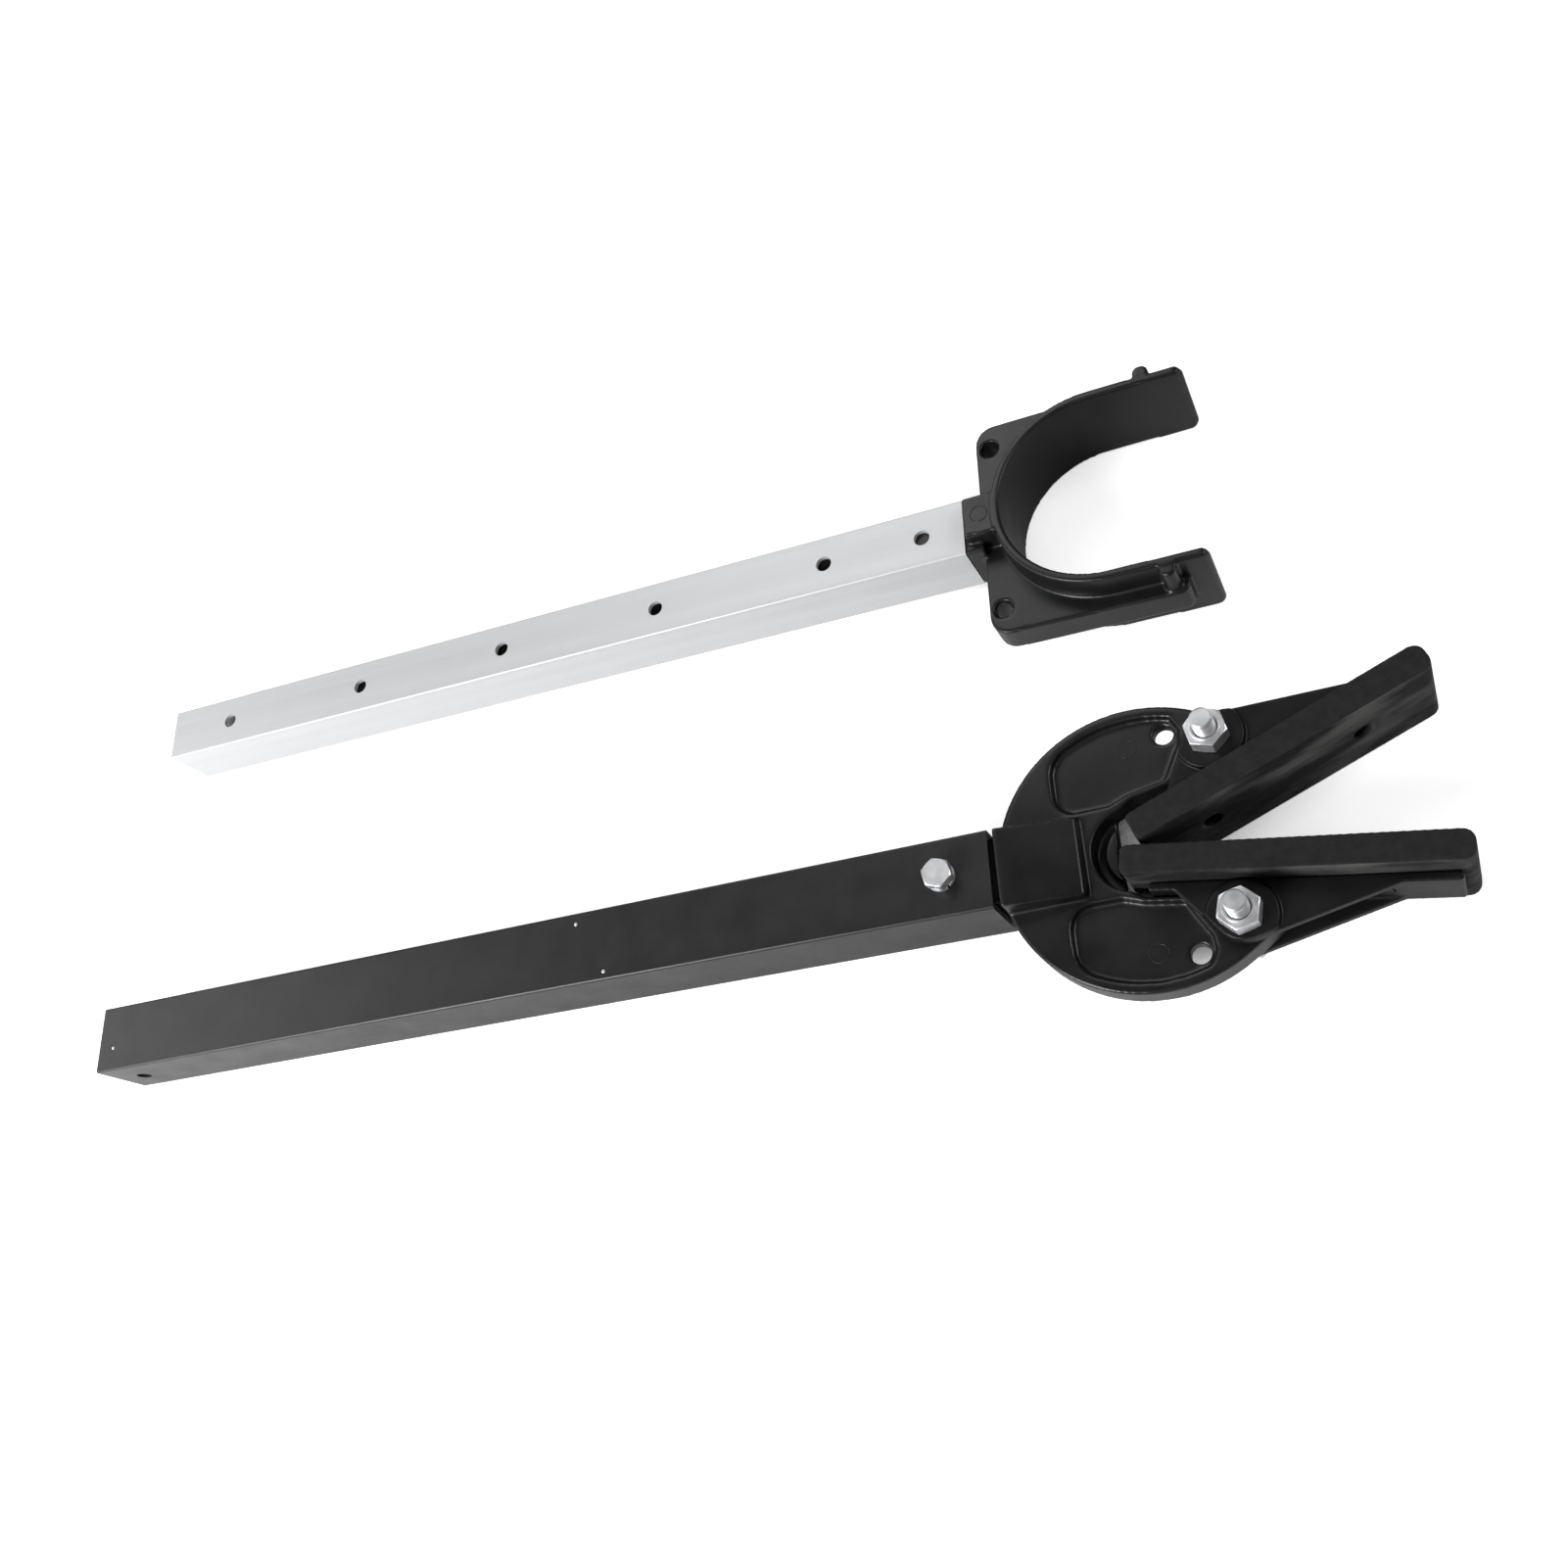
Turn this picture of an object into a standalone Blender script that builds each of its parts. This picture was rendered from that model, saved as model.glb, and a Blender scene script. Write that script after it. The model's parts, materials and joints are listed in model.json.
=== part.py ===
"""Telescoping motor support in two halves that lie side by side on a floor.

The outer half is a square black tube with a cast disc head. Two arms with rubber pads pivot on
the disc and form a V. The inner half is a thinner square tube with a cast U yoke.
Blender 4.5, metres, +Z up, +X along the outer tube towards its head, left is +Y.
"""

import math

import bmesh
import bpy
from mathutils import Matrix, Vector

# Fits and small common sizes
SEAT_GAP = 0.0003            # between faces that touch on the real object
SLIDE_GAP = 0.00025          # each side of a plug inside its tube
BORE_GAP = 0.0003            # round shank in its hole, on the radius
ROUND_STEPS = 32             # sides of a full circle
CORNER_STEPS = 4             # steps in a quarter-round corner
SINK = 0.002                 # how far a joined shape is sunk into the body that it grows from
OVERRUN = 0.01               # how far a cutter runs past the face that it opens
NEARLY_ZERO = 1e-9           # smaller products are taken as parallel lines

# Outer tube
OUTER_WIDTH = 0.0381
OUTER_WALL = 0.003
OUTER_LENGTH = 0.540
OUTER_CORNER = 0.0015
TUBE_BOLT_FROM_END = 0.023   # tube bolt axis, back from the head end of the tube
PIN_HOLE_RADIUS = 0.00425    # hitch pin hole in both tubes
PIN_HOLE_FROM_OPEN_END = 0.0175
DRAIN_RADIUS = 0.0015
DRAIN_HOLES = ((0.010, -0.0056), (0.3215, 0.0131), (0.338, -0.0145))

# Inner tube
INNER_WIDTH = 0.03175
INNER_WALL = 0.0025
INNER_LENGTH = 0.522
INNER_CORNER = 0.001
INNER_FIRST_HOLE = 0.0455    # from the open end
INNER_HOLE_PITCH = 0.100
INNER_HOLE_COUNT = 5
YOKE_SCREW_FROM_END = 0.0223
INNER_START_X = 0.0215       # open end of the inner tube, past that of the outer tube
HALVES_SPACING = 0.1937      # between the two open ends
INNER_SKEW = -1.1            # degrees that the inner half lies off parallel

# Head casting, in a frame at the disc's centre
HEAD_SKEW = 0.9              # degrees that the head sits off true on its single bolt
HEAD_CENTRE_FROM_TUBE = 0.0675
DISC_RADIUS = 0.0672
DISC_THICKNESS = 0.014
HORN_END_X = 0.0585          # flat end of the two horns that carry the arms
HORN_LEAVES_AT = 57.6        # angle on the disc where the horn's straight side starts
PLUG_LENGTH = 0.045
SHOULDER_GAP = 0.0026        # tube end to the casting's shoulder
BOSS_END_X = -0.0278
BOSS_END_HALF_HEIGHT = 0.0116
NOTCH_X = -0.0030
NOTCH_RADIUS = 0.0203
LIP_RADIUS = 0.0153          # curved lip that the arms' ends bear towards
LIP_DROP = 0.005             # lip top below the disc face
LIP_EDGE_X = -0.0118
GROOVE_FLOOR = 0.004         # casting left under the groove round the lip
MOUTH_STEP = ((-0.0080, 0.0198), (-0.0020, 0.0246))
POCKET_DEPTH = 0.0035
POCKET_RIM = 0.0052
POCKET_BACK = ((-0.0356, 0.0487), (-0.0372, 0.0435))
POCKET_INNER = ((-0.0272, 0.0222), (-0.0130, 0.0222), (-0.0040, 0.0256), (0.0138, 0.0288))
POCKET_END = ((0.0188, 0.0385), (0.0230, 0.0460), (0.0236, 0.0520))
POCKET_CORNER = 0.010
POCKET_START_ANGLE = 121.0
POCKET_STOP_ANGLE = 71.0
SIGHT_HOLE = (0.0160, 0.0521)
SIGHT_HOLE_RADIUS = 0.0046

# Arms, each in a frame on its pivot: u runs along the pad, v runs into the V
PIVOT_X = 0.0370
LEFT_REST_ANGLE = 20.5
RIGHT_REST_ANGLE = 9.5
CHEEK_THICKNESS = 0.005
CHEEK_GAP = 0.0004
CHEEK_TIP_RADIUS = 0.0115
CHEEK_START_U = -0.033
CHEEK_STOP_U = 0.073
LAND_RADIUS = 0.0155
LAND_HEIGHT = 0.0025
LAND_MARGIN = 0.0003         # land inside the cheek's edge
WEB_THICKNESS = 0.004
WEB_START_U = -0.040
WEB_STOP_U = 0.086
MOUTH_CLEARANCE = 0.0008     # web to the casting while the arm swings

# Rubber pads
PAD_START_U = -0.0500
PAD_STOP_U = 0.0915
PAD_BACK_V = 0.0165
PAD_THICKNESS = 0.0135
V_ROOT_SPREAD = 0.0118       # disc's middle line to the pads' rubbing faces, if they were parallel
PIVOT_Y = PAD_BACK_V + PAD_THICKNESS + V_ROOT_SPREAD
PAD_HEIGHT = 0.048
PAD_OUTER_CORNER = 0.005
PAD_INNER_CORNER = 0.003
PAD_SCREWS_U = {"inner": -0.0178, "outer": 0.0558}
PAD_SCREW_RADIUS = 0.003
PAD_SCREW_HEAD_RADIUS = 0.0046
PAD_SCREW_HEAD_HEIGHT = 0.003
PAD_RECESS_DEPTH = 0.0065

# Pivot bolts
PIVOT_BOLT_RADIUS = 0.005
PIVOT_FLATS = 0.017
PIVOT_HEAD_HEIGHT = 0.0064
PIVOT_NUT_HEIGHT = 0.0095
PIVOT_STUB = 0.0095
SLEEVE_RADIUS = 0.007
WASHER_RADIUS = 0.010
WASHER_THICKNESS = 0.002

# Tube bolt, screwed into the head casting
TUBE_BOLT_RADIUS = 0.004
TUBE_BOLT_FLATS = 0.013
TUBE_BOLT_HEAD_HEIGHT = 0.0053
TUBE_BOLT_LENGTH = 0.025
SPRING_WASHER_RADIUS = 0.0071
SPRING_WASHER_THICKNESS = 0.002
SPRING_WASHER_SPLIT = 8.0    # degrees
SPRING_WASHER_TURN = 300.0   # degrees that its split lies from the tube's length

# Yoke casting, in a frame at the centre of its U
YOKE_HEIGHT = 0.0485
YOKE_INNER_RADIUS = 0.0492
YOKE_WALL = 0.0044
YOKE_CENTRE_FROM_TUBE = 0.0700
PRONG_LENGTH = 0.0467
FLANGE_HEIGHT = 0.0168
FLANGE_HALF_WIDTH = 0.0610
FLANGE_BACK_X = -0.0624
FLANGE_FRONT_X = 0.0345
FLANGE_CORNER = 0.010
FLANGE_FRONT_CORNER = 0.005
NECK_HALF_WIDTH = 0.011
NECK_BACK_X = -0.0678
NECK_DROP = 0.0005           # neck below the rim of the U
SEAT_BACK_GAP = 0.0003
YOKE_PLUG_LENGTH = 0.040
WING_HOLE = (-0.0552, 0.0473)
WING_HOLE_RADIUS = 0.0047
PEG_X = 0.027
PEG_Y = 0.0556
PEG_RADIUS = 0.004
PEG_DROP = 0.00025           # peg top below the rim of the U

# Yoke screw, from below
YOKE_SCREW_RADIUS = 0.003
YOKE_SCREW_HEAD_RADIUS = 0.0055
YOKE_SCREW_HEAD_HEIGHT = 0.0033
YOKE_SCREW_RIM = 0.001       # straight part of the button head, below its crown
YOKE_SCREW_LENGTH = 0.016
YOKE_WASHER_RADIUS = 0.0060
YOKE_WASHER_THICKNESS = 0.0012

# Heights of the two halves: each rests on its own tallest casting or pad
OUTER_MID_Z = PAD_HEIGHT / 2
INNER_MID_Z = YOKE_HEIGHT / 2

SIDES = {"left": 1, "right": -1}
REST_ANGLE = {"left": LEFT_REST_ANGLE, "right": RIGHT_REST_ANGLE}

FINISHES = {
    "black_powder_coat": ((0.020, 0.020, 0.022), 0.42, 0.0),
    "mill_aluminium": ((0.80, 0.81, 0.82), 0.36, 1.0),
    "black_casting": ((0.016, 0.016, 0.018), 0.38, 0.0),
    "black_rubber": ((0.030, 0.030, 0.031), 0.75, 0.0),
    "bright_zinc": ((0.72, 0.73, 0.74), 0.25, 1.0),
}


# ---- Plane shapes ----

def arc(centre, radius, start, end, steps):
    """Points on an arc, from start to end in degrees, both included."""
    points = []
    for i in range(steps + 1):
        angle = math.radians(start + (end - start) * i / steps)
        points.append((centre[0] + radius * math.cos(angle), centre[1] + radius * math.sin(angle)))
    return points


def circle(radius, centre=(0.0, 0.0), steps=ROUND_STEPS):
    """A closed round outline."""
    return arc(centre, radius, 0, 360, steps)[:-1]


def rounded_box(x_low, x_high, y_low, y_high, corner):
    """A rectangle with round corners, starting at its upper right corner."""
    corners = ((x_high - corner, y_high - corner), (x_low + corner, y_high - corner),
               (x_low + corner, y_low + corner), (x_high - corner, y_low + corner))
    points = []
    for quarter, centre in enumerate(corners):
        points += arc(centre, corner, 90 * quarter, 90 * quarter + 90, CORNER_STEPS)
    return points


def square(width, corner):
    """A centred square with round corners."""
    half = width / 2
    return rounded_box(-half, half, -half, half, corner)


def hexagon(flats, steps=ROUND_STEPS):
    """A hexagon by its width across flats, with as many points as a circle."""
    points = []
    for x, y in circle(1.0, steps=steps):
        angle = math.atan2(y, x)
        from_flat = (angle + math.radians(30)) % math.radians(60) - math.radians(30)
        reach = flats / 2 / math.cos(from_flat)
        points.append((reach * x, reach * y))
    return points


def tangent_angle(point, radius, turn):
    """Angle on a circle about the origin where the tangent from a point touches it."""
    towards = math.atan2(point[1], point[0])
    return math.degrees(towards + turn * math.acos(radius / math.hypot(*point)))


def both_sides(half_outline):
    """Closes an outline given for y > 0, from right to left, with its mirror image."""
    return half_outline + [(x, -y) for x, y in reversed(half_outline)]


# ---- Solids ----

def add_object(name, mesh, parent, finish=None):
    """Puts a mesh into the scene under a parent, with its finish."""
    thing = bpy.data.objects.new(name, mesh)
    bpy.context.scene.collection.objects.link(thing)
    thing.parent = parent
    if finish:
        mesh.materials.append(bpy.data.materials[finish])
    return thing


def close_mesh(name, shape):
    """Turns a bmesh into a mesh with its faces outwards."""
    bmesh.ops.recalc_face_normals(shape, faces=shape.faces[:])
    mesh = bpy.data.meshes.new(name)
    shape.to_mesh(mesh)
    shape.free()
    return mesh


def on_axis(a, b, along, axis):
    """Places a plane point at a height along the chosen axis."""
    return {"Z": (a, b, along), "X": (along, a, b), "Y": (b, along, a)}[axis]


def extrude(name, outline, low, high, axis="Z"):
    """A solid with one outline for its whole height."""
    shape = bmesh.new()
    base = shape.faces.new([shape.verts.new(on_axis(a, b, low, axis)) for a, b in outline])
    grown = bmesh.ops.extrude_face_region(shape, geom=[base])
    moved = [item for item in grown["geom"] if isinstance(item, bmesh.types.BMVert)]
    bmesh.ops.translate(shape, verts=moved, vec=Vector(on_axis(0, 0, high - low, axis)))
    return close_mesh(name, shape)


def extrude_ring(name, outer, inner, low, high, axis="Z"):
    """A pipe between two outlines with the same number of points."""
    shape = bmesh.new()
    loops = []
    for outline, along in ((outer, low), (outer, high), (inner, high), (inner, low)):
        loops.append([shape.verts.new(on_axis(a, b, along, axis)) for a, b in outline])
    count = len(outer)
    for k, loop in enumerate(loops):
        following = loops[(k + 1) % len(loops)]
        for i in range(count):
            j = (i + 1) % count
            shape.faces.new((loop[i], loop[j], following[j], following[i]))
    return close_mesh(name, shape)


def turn(name, profile, axis="Z"):
    """A round solid from its half profile of (radius, height) points; it starts and ends at 0."""
    shape = bmesh.new()
    rings = []
    for radius, height in profile:
        if radius == 0:
            rings.append([shape.verts.new(on_axis(0, 0, height, axis))] * ROUND_STEPS)
        else:
            rings.append([shape.verts.new(on_axis(a, b, height, axis)) for a, b in circle(radius)])
    for ring, following in zip(rings, rings[1:]):
        for i in range(ROUND_STEPS):
            j = (i + 1) % ROUND_STEPS
            corners = []
            for corner in (ring[i], ring[j], following[j], following[i]):
                if corner not in corners:
                    corners.append(corner)
            shape.faces.new(corners)
    return close_mesh(name, shape)


def combine(thing, operation, mesh):
    """Adds or cuts a shape given in the thing's own frame."""
    tool = bpy.data.objects.new(mesh.name, mesh)
    bpy.context.scene.collection.objects.link(tool)
    tool.parent = thing
    tool.hide_render = True
    tool.display_type = "WIRE"
    boolean = thing.modifiers.new(mesh.name, "BOOLEAN")
    boolean.operation = operation
    boolean.solver = "EXACT"
    boolean.object = tool


def grow(thing, mesh):
    """Joins a shape to a body."""
    combine(thing, "UNION", mesh)


def cut(thing, mesh):
    """Takes a shape out of a body."""
    combine(thing, "DIFFERENCE", mesh)


def shade_round(thing):
    """Smooth shading with creases kept sharp."""
    thing.data.shade_smooth()
    thing.data.set_sharp_from_angle(angle=math.radians(35))


def add_frame(name, parent, location, angle=0.0):
    """An empty that carries the pieces built in its frame."""
    frame = bpy.data.objects.new(name, None)
    bpy.context.scene.collection.objects.link(frame)
    frame.parent = parent
    frame.location = location
    frame.rotation_euler = (0.0, 0.0, math.radians(angle))
    return frame


# ---- Outer half ----

def make_outer_tube(half):
    """Square tube, open at the far end, with holes for its bolt and the hitch pin."""
    mesh = extrude_ring("outer_tube", square(OUTER_WIDTH, OUTER_CORNER),
                        square(OUTER_WIDTH - 2 * OUTER_WALL, OUTER_CORNER / 2), 0, OUTER_LENGTH, "X")
    tube = add_object("outer_tube", mesh, half, "black_powder_coat")
    bolt_x = OUTER_LENGTH - TUBE_BOLT_FROM_END
    cut(tube, extrude("cut_bolt_hole", circle(TUBE_BOLT_RADIUS + BORE_GAP, (bolt_x, 0)),
                      0, OUTER_WIDTH))
    cut(tube, extrude("cut_pin_hole", circle(PIN_HOLE_RADIUS, (0, PIN_HOLE_FROM_OPEN_END)),
                      -OUTER_WIDTH, OUTER_WIDTH, "Y"))
    for number, place in enumerate(DRAIN_HOLES):
        cut(tube, extrude(f"cut_drain_{number}", circle(DRAIN_RADIUS, place, ROUND_STEPS // 2),
                          -OUTER_WIDTH, OUTER_WIDTH))


def horn_clearance_outline():
    """The mouth between the horns, wide enough for both arms' webs at each end of their swing."""
    keep_off = PAD_BACK_V - SEAT_GAP - WEB_THICKNESS - MOUTH_CLEARANCE
    widest = max(REST_ANGLE.values())
    narrowest = min(REST_ANGLE.values())
    pivot = (PIVOT_X, PIVOT_Y)
    touch = arc(pivot, keep_off, widest - 90, narrowest - 90, CORNER_STEPS)
    far_x = HORN_END_X + OVERRUN
    far_y = touch[0][1] + (far_x - touch[0][0]) * math.tan(math.radians(widest))
    near_x = MOUTH_STEP[1][0]
    near_y = touch[-1][1] + (near_x - touch[-1][0]) * math.tan(math.radians(narrowest))
    upper = [(far_x, far_y)] + touch + [(near_x, near_y), MOUTH_STEP[0]]
    notch_angle = math.degrees(math.acos((LIP_EDGE_X - NOTCH_X) / NOTCH_RADIUS))
    upper.append((LIP_EDGE_X, NOTCH_RADIUS * math.sin(math.radians(notch_angle))))
    return both_sides(upper)


def disc_outline():
    """The disc with its two horns, without the mouth."""
    leave = math.radians(HORN_LEAVES_AT)
    horn_y = (DISC_RADIUS - HORN_END_X * math.cos(leave)) / math.sin(leave)
    rim = arc((0, 0), DISC_RADIUS, HORN_LEAVES_AT, 360 - HORN_LEAVES_AT, 2 * ROUND_STEPS)
    return [(HORN_END_X, horn_y)] + rim + [(HORN_END_X, -horn_y)]


def pocket_outline(side):
    """A kidney-shaped pocket that follows the disc's rim and stays clear of the mouth."""
    rim_radius = DISC_RADIUS - POCKET_RIM
    rim = arc((0, 0), rim_radius, POCKET_STOP_ANGLE, POCKET_START_ANGLE, ROUND_STEPS // 2)
    start = POCKET_INNER[0]
    rounding = arc((start[0], start[1] + POCKET_CORNER), POCKET_CORNER, 180, 270, CORNER_STEPS)
    points = rim + list(POCKET_BACK) + rounding + list(POCKET_INNER[1:]) + list(POCKET_END)
    return [(x, side * y) for x, y in points]


def make_head(half):
    """Cast disc with a plug for the tube, two horns and a notch between them."""
    bolt_frame = add_frame("head_bolt_frame", half, (OUTER_LENGTH - TUBE_BOLT_FROM_END, 0, 0),
                           HEAD_SKEW)
    bolt_x = -HEAD_CENTRE_FROM_TUBE - TUBE_BOLT_FROM_END
    frame = add_frame("head_frame", bolt_frame, (-bolt_x, 0, 0))
    face = DISC_THICKNESS / 2
    mesh = extrude("head_casting", disc_outline(), -face, face)
    head = add_object("head_casting", mesh, frame, "black_casting")

    shoulder_x = SHOULDER_GAP - HEAD_CENTRE_FROM_TUBE
    tall = OUTER_WIDTH / 2 - SEAT_GAP
    low = BOSS_END_HALF_HEIGHT
    end_x = BOSS_END_X + SINK
    side_view = [(low, BOSS_END_X), (face / 2, end_x), (-face / 2, end_x), (-low, BOSS_END_X),
                 (-tall, shoulder_x), (tall, shoulder_x)]
    grow(head, extrude("grow_boss", side_view, -OUTER_WIDTH / 2, OUTER_WIDTH / 2, "Y"))
    reach = max(TUBE_BOLT_FROM_END, PLUG_LENGTH - TUBE_BOLT_FROM_END)
    play = SLIDE_GAP + reach * math.tan(math.radians(abs(HEAD_SKEW)))
    plug_width = OUTER_WIDTH - 2 * OUTER_WALL - 2 * play
    plug_end = -HEAD_CENTRE_FROM_TUBE - PLUG_LENGTH
    grow(head, extrude("grow_plug", square(plug_width, OUTER_CORNER), plug_end,
                       shoulder_x + SINK, "X"))

    cut(head, extrude("cut_mouth", horn_clearance_outline(), -OVERRUN, OVERRUN))
    notch = circle(NOTCH_RADIUS, (NOTCH_X, 0), 2 * ROUND_STEPS)
    lip = circle(LIP_RADIUS, (NOTCH_X, 0), 2 * ROUND_STEPS)
    cut(head, extrude("cut_lip_top", notch, face - LIP_DROP, OVERRUN))
    cut(head, extrude_ring("cut_groove", notch, lip, GROOVE_FLOOR - face, OVERRUN))
    thread_end = OUTER_WIDTH / 2 - TUBE_BOLT_LENGTH
    cut(head, extrude("cut_tube_bolt", circle(TUBE_BOLT_RADIUS + BORE_GAP, (bolt_x, 0)),
                      thread_end, OUTER_WIDTH))
    for name, side in SIDES.items():
        outline = pocket_outline(side)
        cut(head, extrude(f"cut_{name}_pocket_top", outline, face - POCKET_DEPTH, OVERRUN))
        cut(head, extrude(f"cut_{name}_pocket_under", outline, -OVERRUN, POCKET_DEPTH - face))
        hole = circle(SIGHT_HOLE_RADIUS, (SIGHT_HOLE[0], side * SIGHT_HOLE[1]))
        cut(head, extrude(f"cut_{name}_sight_hole", hole, -OVERRUN, OVERRUN))
        bore = circle(SLEEVE_RADIUS + BORE_GAP, (PIVOT_X, side * PIVOT_Y))
        cut(head, extrude(f"cut_{name}_pivot", bore, -OVERRUN, OVERRUN))
    return frame


def make_tube_bolt(half):
    """Hex bolt and spring washer that hold the head in the outer tube."""
    frame = add_frame("tube_bolt_frame", half, (OUTER_LENGTH - TUBE_BOLT_FROM_END, 0,
                                                OUTER_WIDTH / 2 + SEAT_GAP))
    outer = arc((0, 0), SPRING_WASHER_RADIUS, SPRING_WASHER_TURN + SPRING_WASHER_SPLIT,
                SPRING_WASHER_TURN + 360, ROUND_STEPS)
    inner = arc((0, 0), TUBE_BOLT_RADIUS + BORE_GAP, SPRING_WASHER_TURN + 360,
                SPRING_WASHER_TURN + SPRING_WASHER_SPLIT, ROUND_STEPS)
    washer = extrude("tube_bolt_washer", outer + inner, 0, SPRING_WASHER_THICKNESS)
    shade_round(add_object("tube_bolt_washer", washer, frame, "bright_zinc"))

    seat = SPRING_WASHER_THICKNESS + SEAT_GAP
    head = extrude("tube_bolt", hexagon(TUBE_BOLT_FLATS), seat, seat + TUBE_BOLT_HEAD_HEIGHT)
    bolt = add_object("tube_bolt", head, frame, "bright_zinc")
    tip = seat - TUBE_BOLT_LENGTH + 2 * SEAT_GAP
    grow(bolt, turn("grow_tube_bolt_shank", [(0, tip), (TUBE_BOLT_RADIUS, tip),
                                             (TUBE_BOLT_RADIUS, seat + SINK), (0, seat + SINK)]))
    shade_round(bolt)


# ---- Arms of the V ----

def arm_point(u, v, side):
    """A point of an arm's own frame; v runs into the V from either side."""
    return (u, -side * v)


def cheek_outline(side):
    """A triangle with a round tip about the pivot and its long side on the pad's back."""
    back = PAD_BACK_V - SEAT_GAP
    start = (CHEEK_START_U, back)
    stop = (CHEEK_STOP_U, back)
    first = tangent_angle(start, CHEEK_TIP_RADIUS, 1)
    last = tangent_angle(stop, CHEEK_TIP_RADIUS, -1) + 360
    tip = arc((0, 0), CHEEK_TIP_RADIUS, first, last, ROUND_STEPS // 2)
    return [arm_point(u, v, side) for u, v in [start] + tip + [stop]]


def land_outline(cheek):
    """A circle about the pivot, held inside the cheek's edges."""
    points = []
    for x, y in circle(1.0):
        reach = LAND_RADIUS
        for (x1, y1), (x2, y2) in zip(cheek, cheek[1:] + cheek[:1]):
            across = x * (y2 - y1) - y * (x2 - x1)
            if abs(across) > NEARLY_ZERO:
                ahead = (x1 * (y2 - y1) - y1 * (x2 - x1)) / across
                if ahead > 0:
                    reach = min(reach, ahead - LAND_MARGIN)
        points.append((reach * x, reach * y))
    return points


def make_bracket(name, side, frame):
    """Web behind the pad, and two cheeks that straddle the disc."""
    inside = DISC_THICKNESS / 2 + CHEEK_GAP
    outside = inside + CHEEK_THICKNESS
    web_front = PAD_BACK_V - SEAT_GAP
    web_back = web_front - WEB_THICKNESS
    sides_y = sorted((arm_point(0, web_front, side)[1], arm_point(0, web_back, side)[1]))
    web = rounded_box(WEB_START_U, WEB_STOP_U, sides_y[0], sides_y[1], OUTER_CORNER)
    mesh = extrude(f"{name}_arm_bracket", web, -outside, outside)
    bracket = add_object(f"{name}_arm_bracket", mesh, frame, "black_powder_coat")
    outline = cheek_outline(side)
    grow(bracket, extrude(f"grow_{name}_upper_cheek", outline, inside, outside))
    grow(bracket, extrude(f"grow_{name}_lower_cheek", outline, -outside, -inside))
    grow(bracket, extrude(f"grow_{name}_land", land_outline(outline), outside - SINK,
                          outside + LAND_HEIGHT))
    cut(bracket, extrude(f"cut_{name}_pivot_hole", circle(PIVOT_BOLT_RADIUS + BORE_GAP),
                         -2 * OVERRUN, 2 * OVERRUN))
    for place, u in PAD_SCREWS_U.items():
        hole = circle(PAD_SCREW_RADIUS + BORE_GAP, (0, u))
        cut(bracket, extrude(f"cut_{name}_{place}_thread", hole, -2 * PAD_BACK_V,
                             2 * PAD_BACK_V, "Y"))


def make_pad(name, side, frame):
    """Thick rubber block screwed to the web, with sunk screw holes."""
    front = PAD_BACK_V + PAD_THICKNESS
    faces_y = sorted((arm_point(0, PAD_BACK_V, side)[1], arm_point(0, front, side)[1]))
    low, high = faces_y
    inner, outer = PAD_INNER_CORNER, PAD_OUTER_CORNER
    outline = (arc((PAD_STOP_U - outer, high - outer), outer, 0, 90, CORNER_STEPS)
               + arc((PAD_START_U + inner, high - inner), inner, 90, 180, CORNER_STEPS)
               + arc((PAD_START_U + inner, low + inner), inner, 180, 270, CORNER_STEPS)
               + arc((PAD_STOP_U - outer, low + outer), outer, 270, 360, CORNER_STEPS))
    mesh = extrude(f"{name}_pad", outline, -PAD_HEIGHT / 2, PAD_HEIGHT / 2)
    pad = add_object(f"{name}_pad", mesh, frame, "black_rubber")
    for place, u in PAD_SCREWS_U.items():
        hole = circle(PAD_SCREW_RADIUS + BORE_GAP, (0, u))
        cut(pad, extrude(f"cut_{name}_{place}_screw_hole", hole, low - OVERRUN, high + OVERRUN, "Y"))
        recess = circle(PAD_SCREW_HEAD_RADIUS + BORE_GAP, (0, u))
        floor = arm_point(0, front - PAD_RECESS_DEPTH, side)[1]
        mouth = arm_point(0, front + OVERRUN, side)[1]
        cut(pad, extrude(f"cut_{name}_{place}_recess", recess, min(floor, mouth),
                         max(floor, mouth), "Y"))


def make_pad_screws(name, side, frame):
    """Pan-head screws through the pad into the web."""
    head_seat = PAD_BACK_V + PAD_THICKNESS - PAD_RECESS_DEPTH + SEAT_GAP
    head_top = head_seat + PAD_SCREW_HEAD_HEIGHT
    tip = PAD_BACK_V - SEAT_GAP - WEB_THICKNESS
    for place, u in PAD_SCREWS_U.items():
        spot = add_frame(f"{name}_{place}_screw_frame", frame, (u, 0, 0))
        profile = [(0, tip), (PAD_SCREW_RADIUS, tip), (PAD_SCREW_RADIUS, head_seat),
                   (PAD_SCREW_HEAD_RADIUS, head_seat), (PAD_SCREW_HEAD_RADIUS, head_top),
                   (0, head_top)]
        placed = [(radius, arm_point(0, v, side)[1]) for radius, v in profile]
        screw_name = f"{name}_pad_screw_{place}"
        shade_round(add_object(screw_name, turn(screw_name, placed, "Y"), spot, "bright_zinc"))


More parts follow.
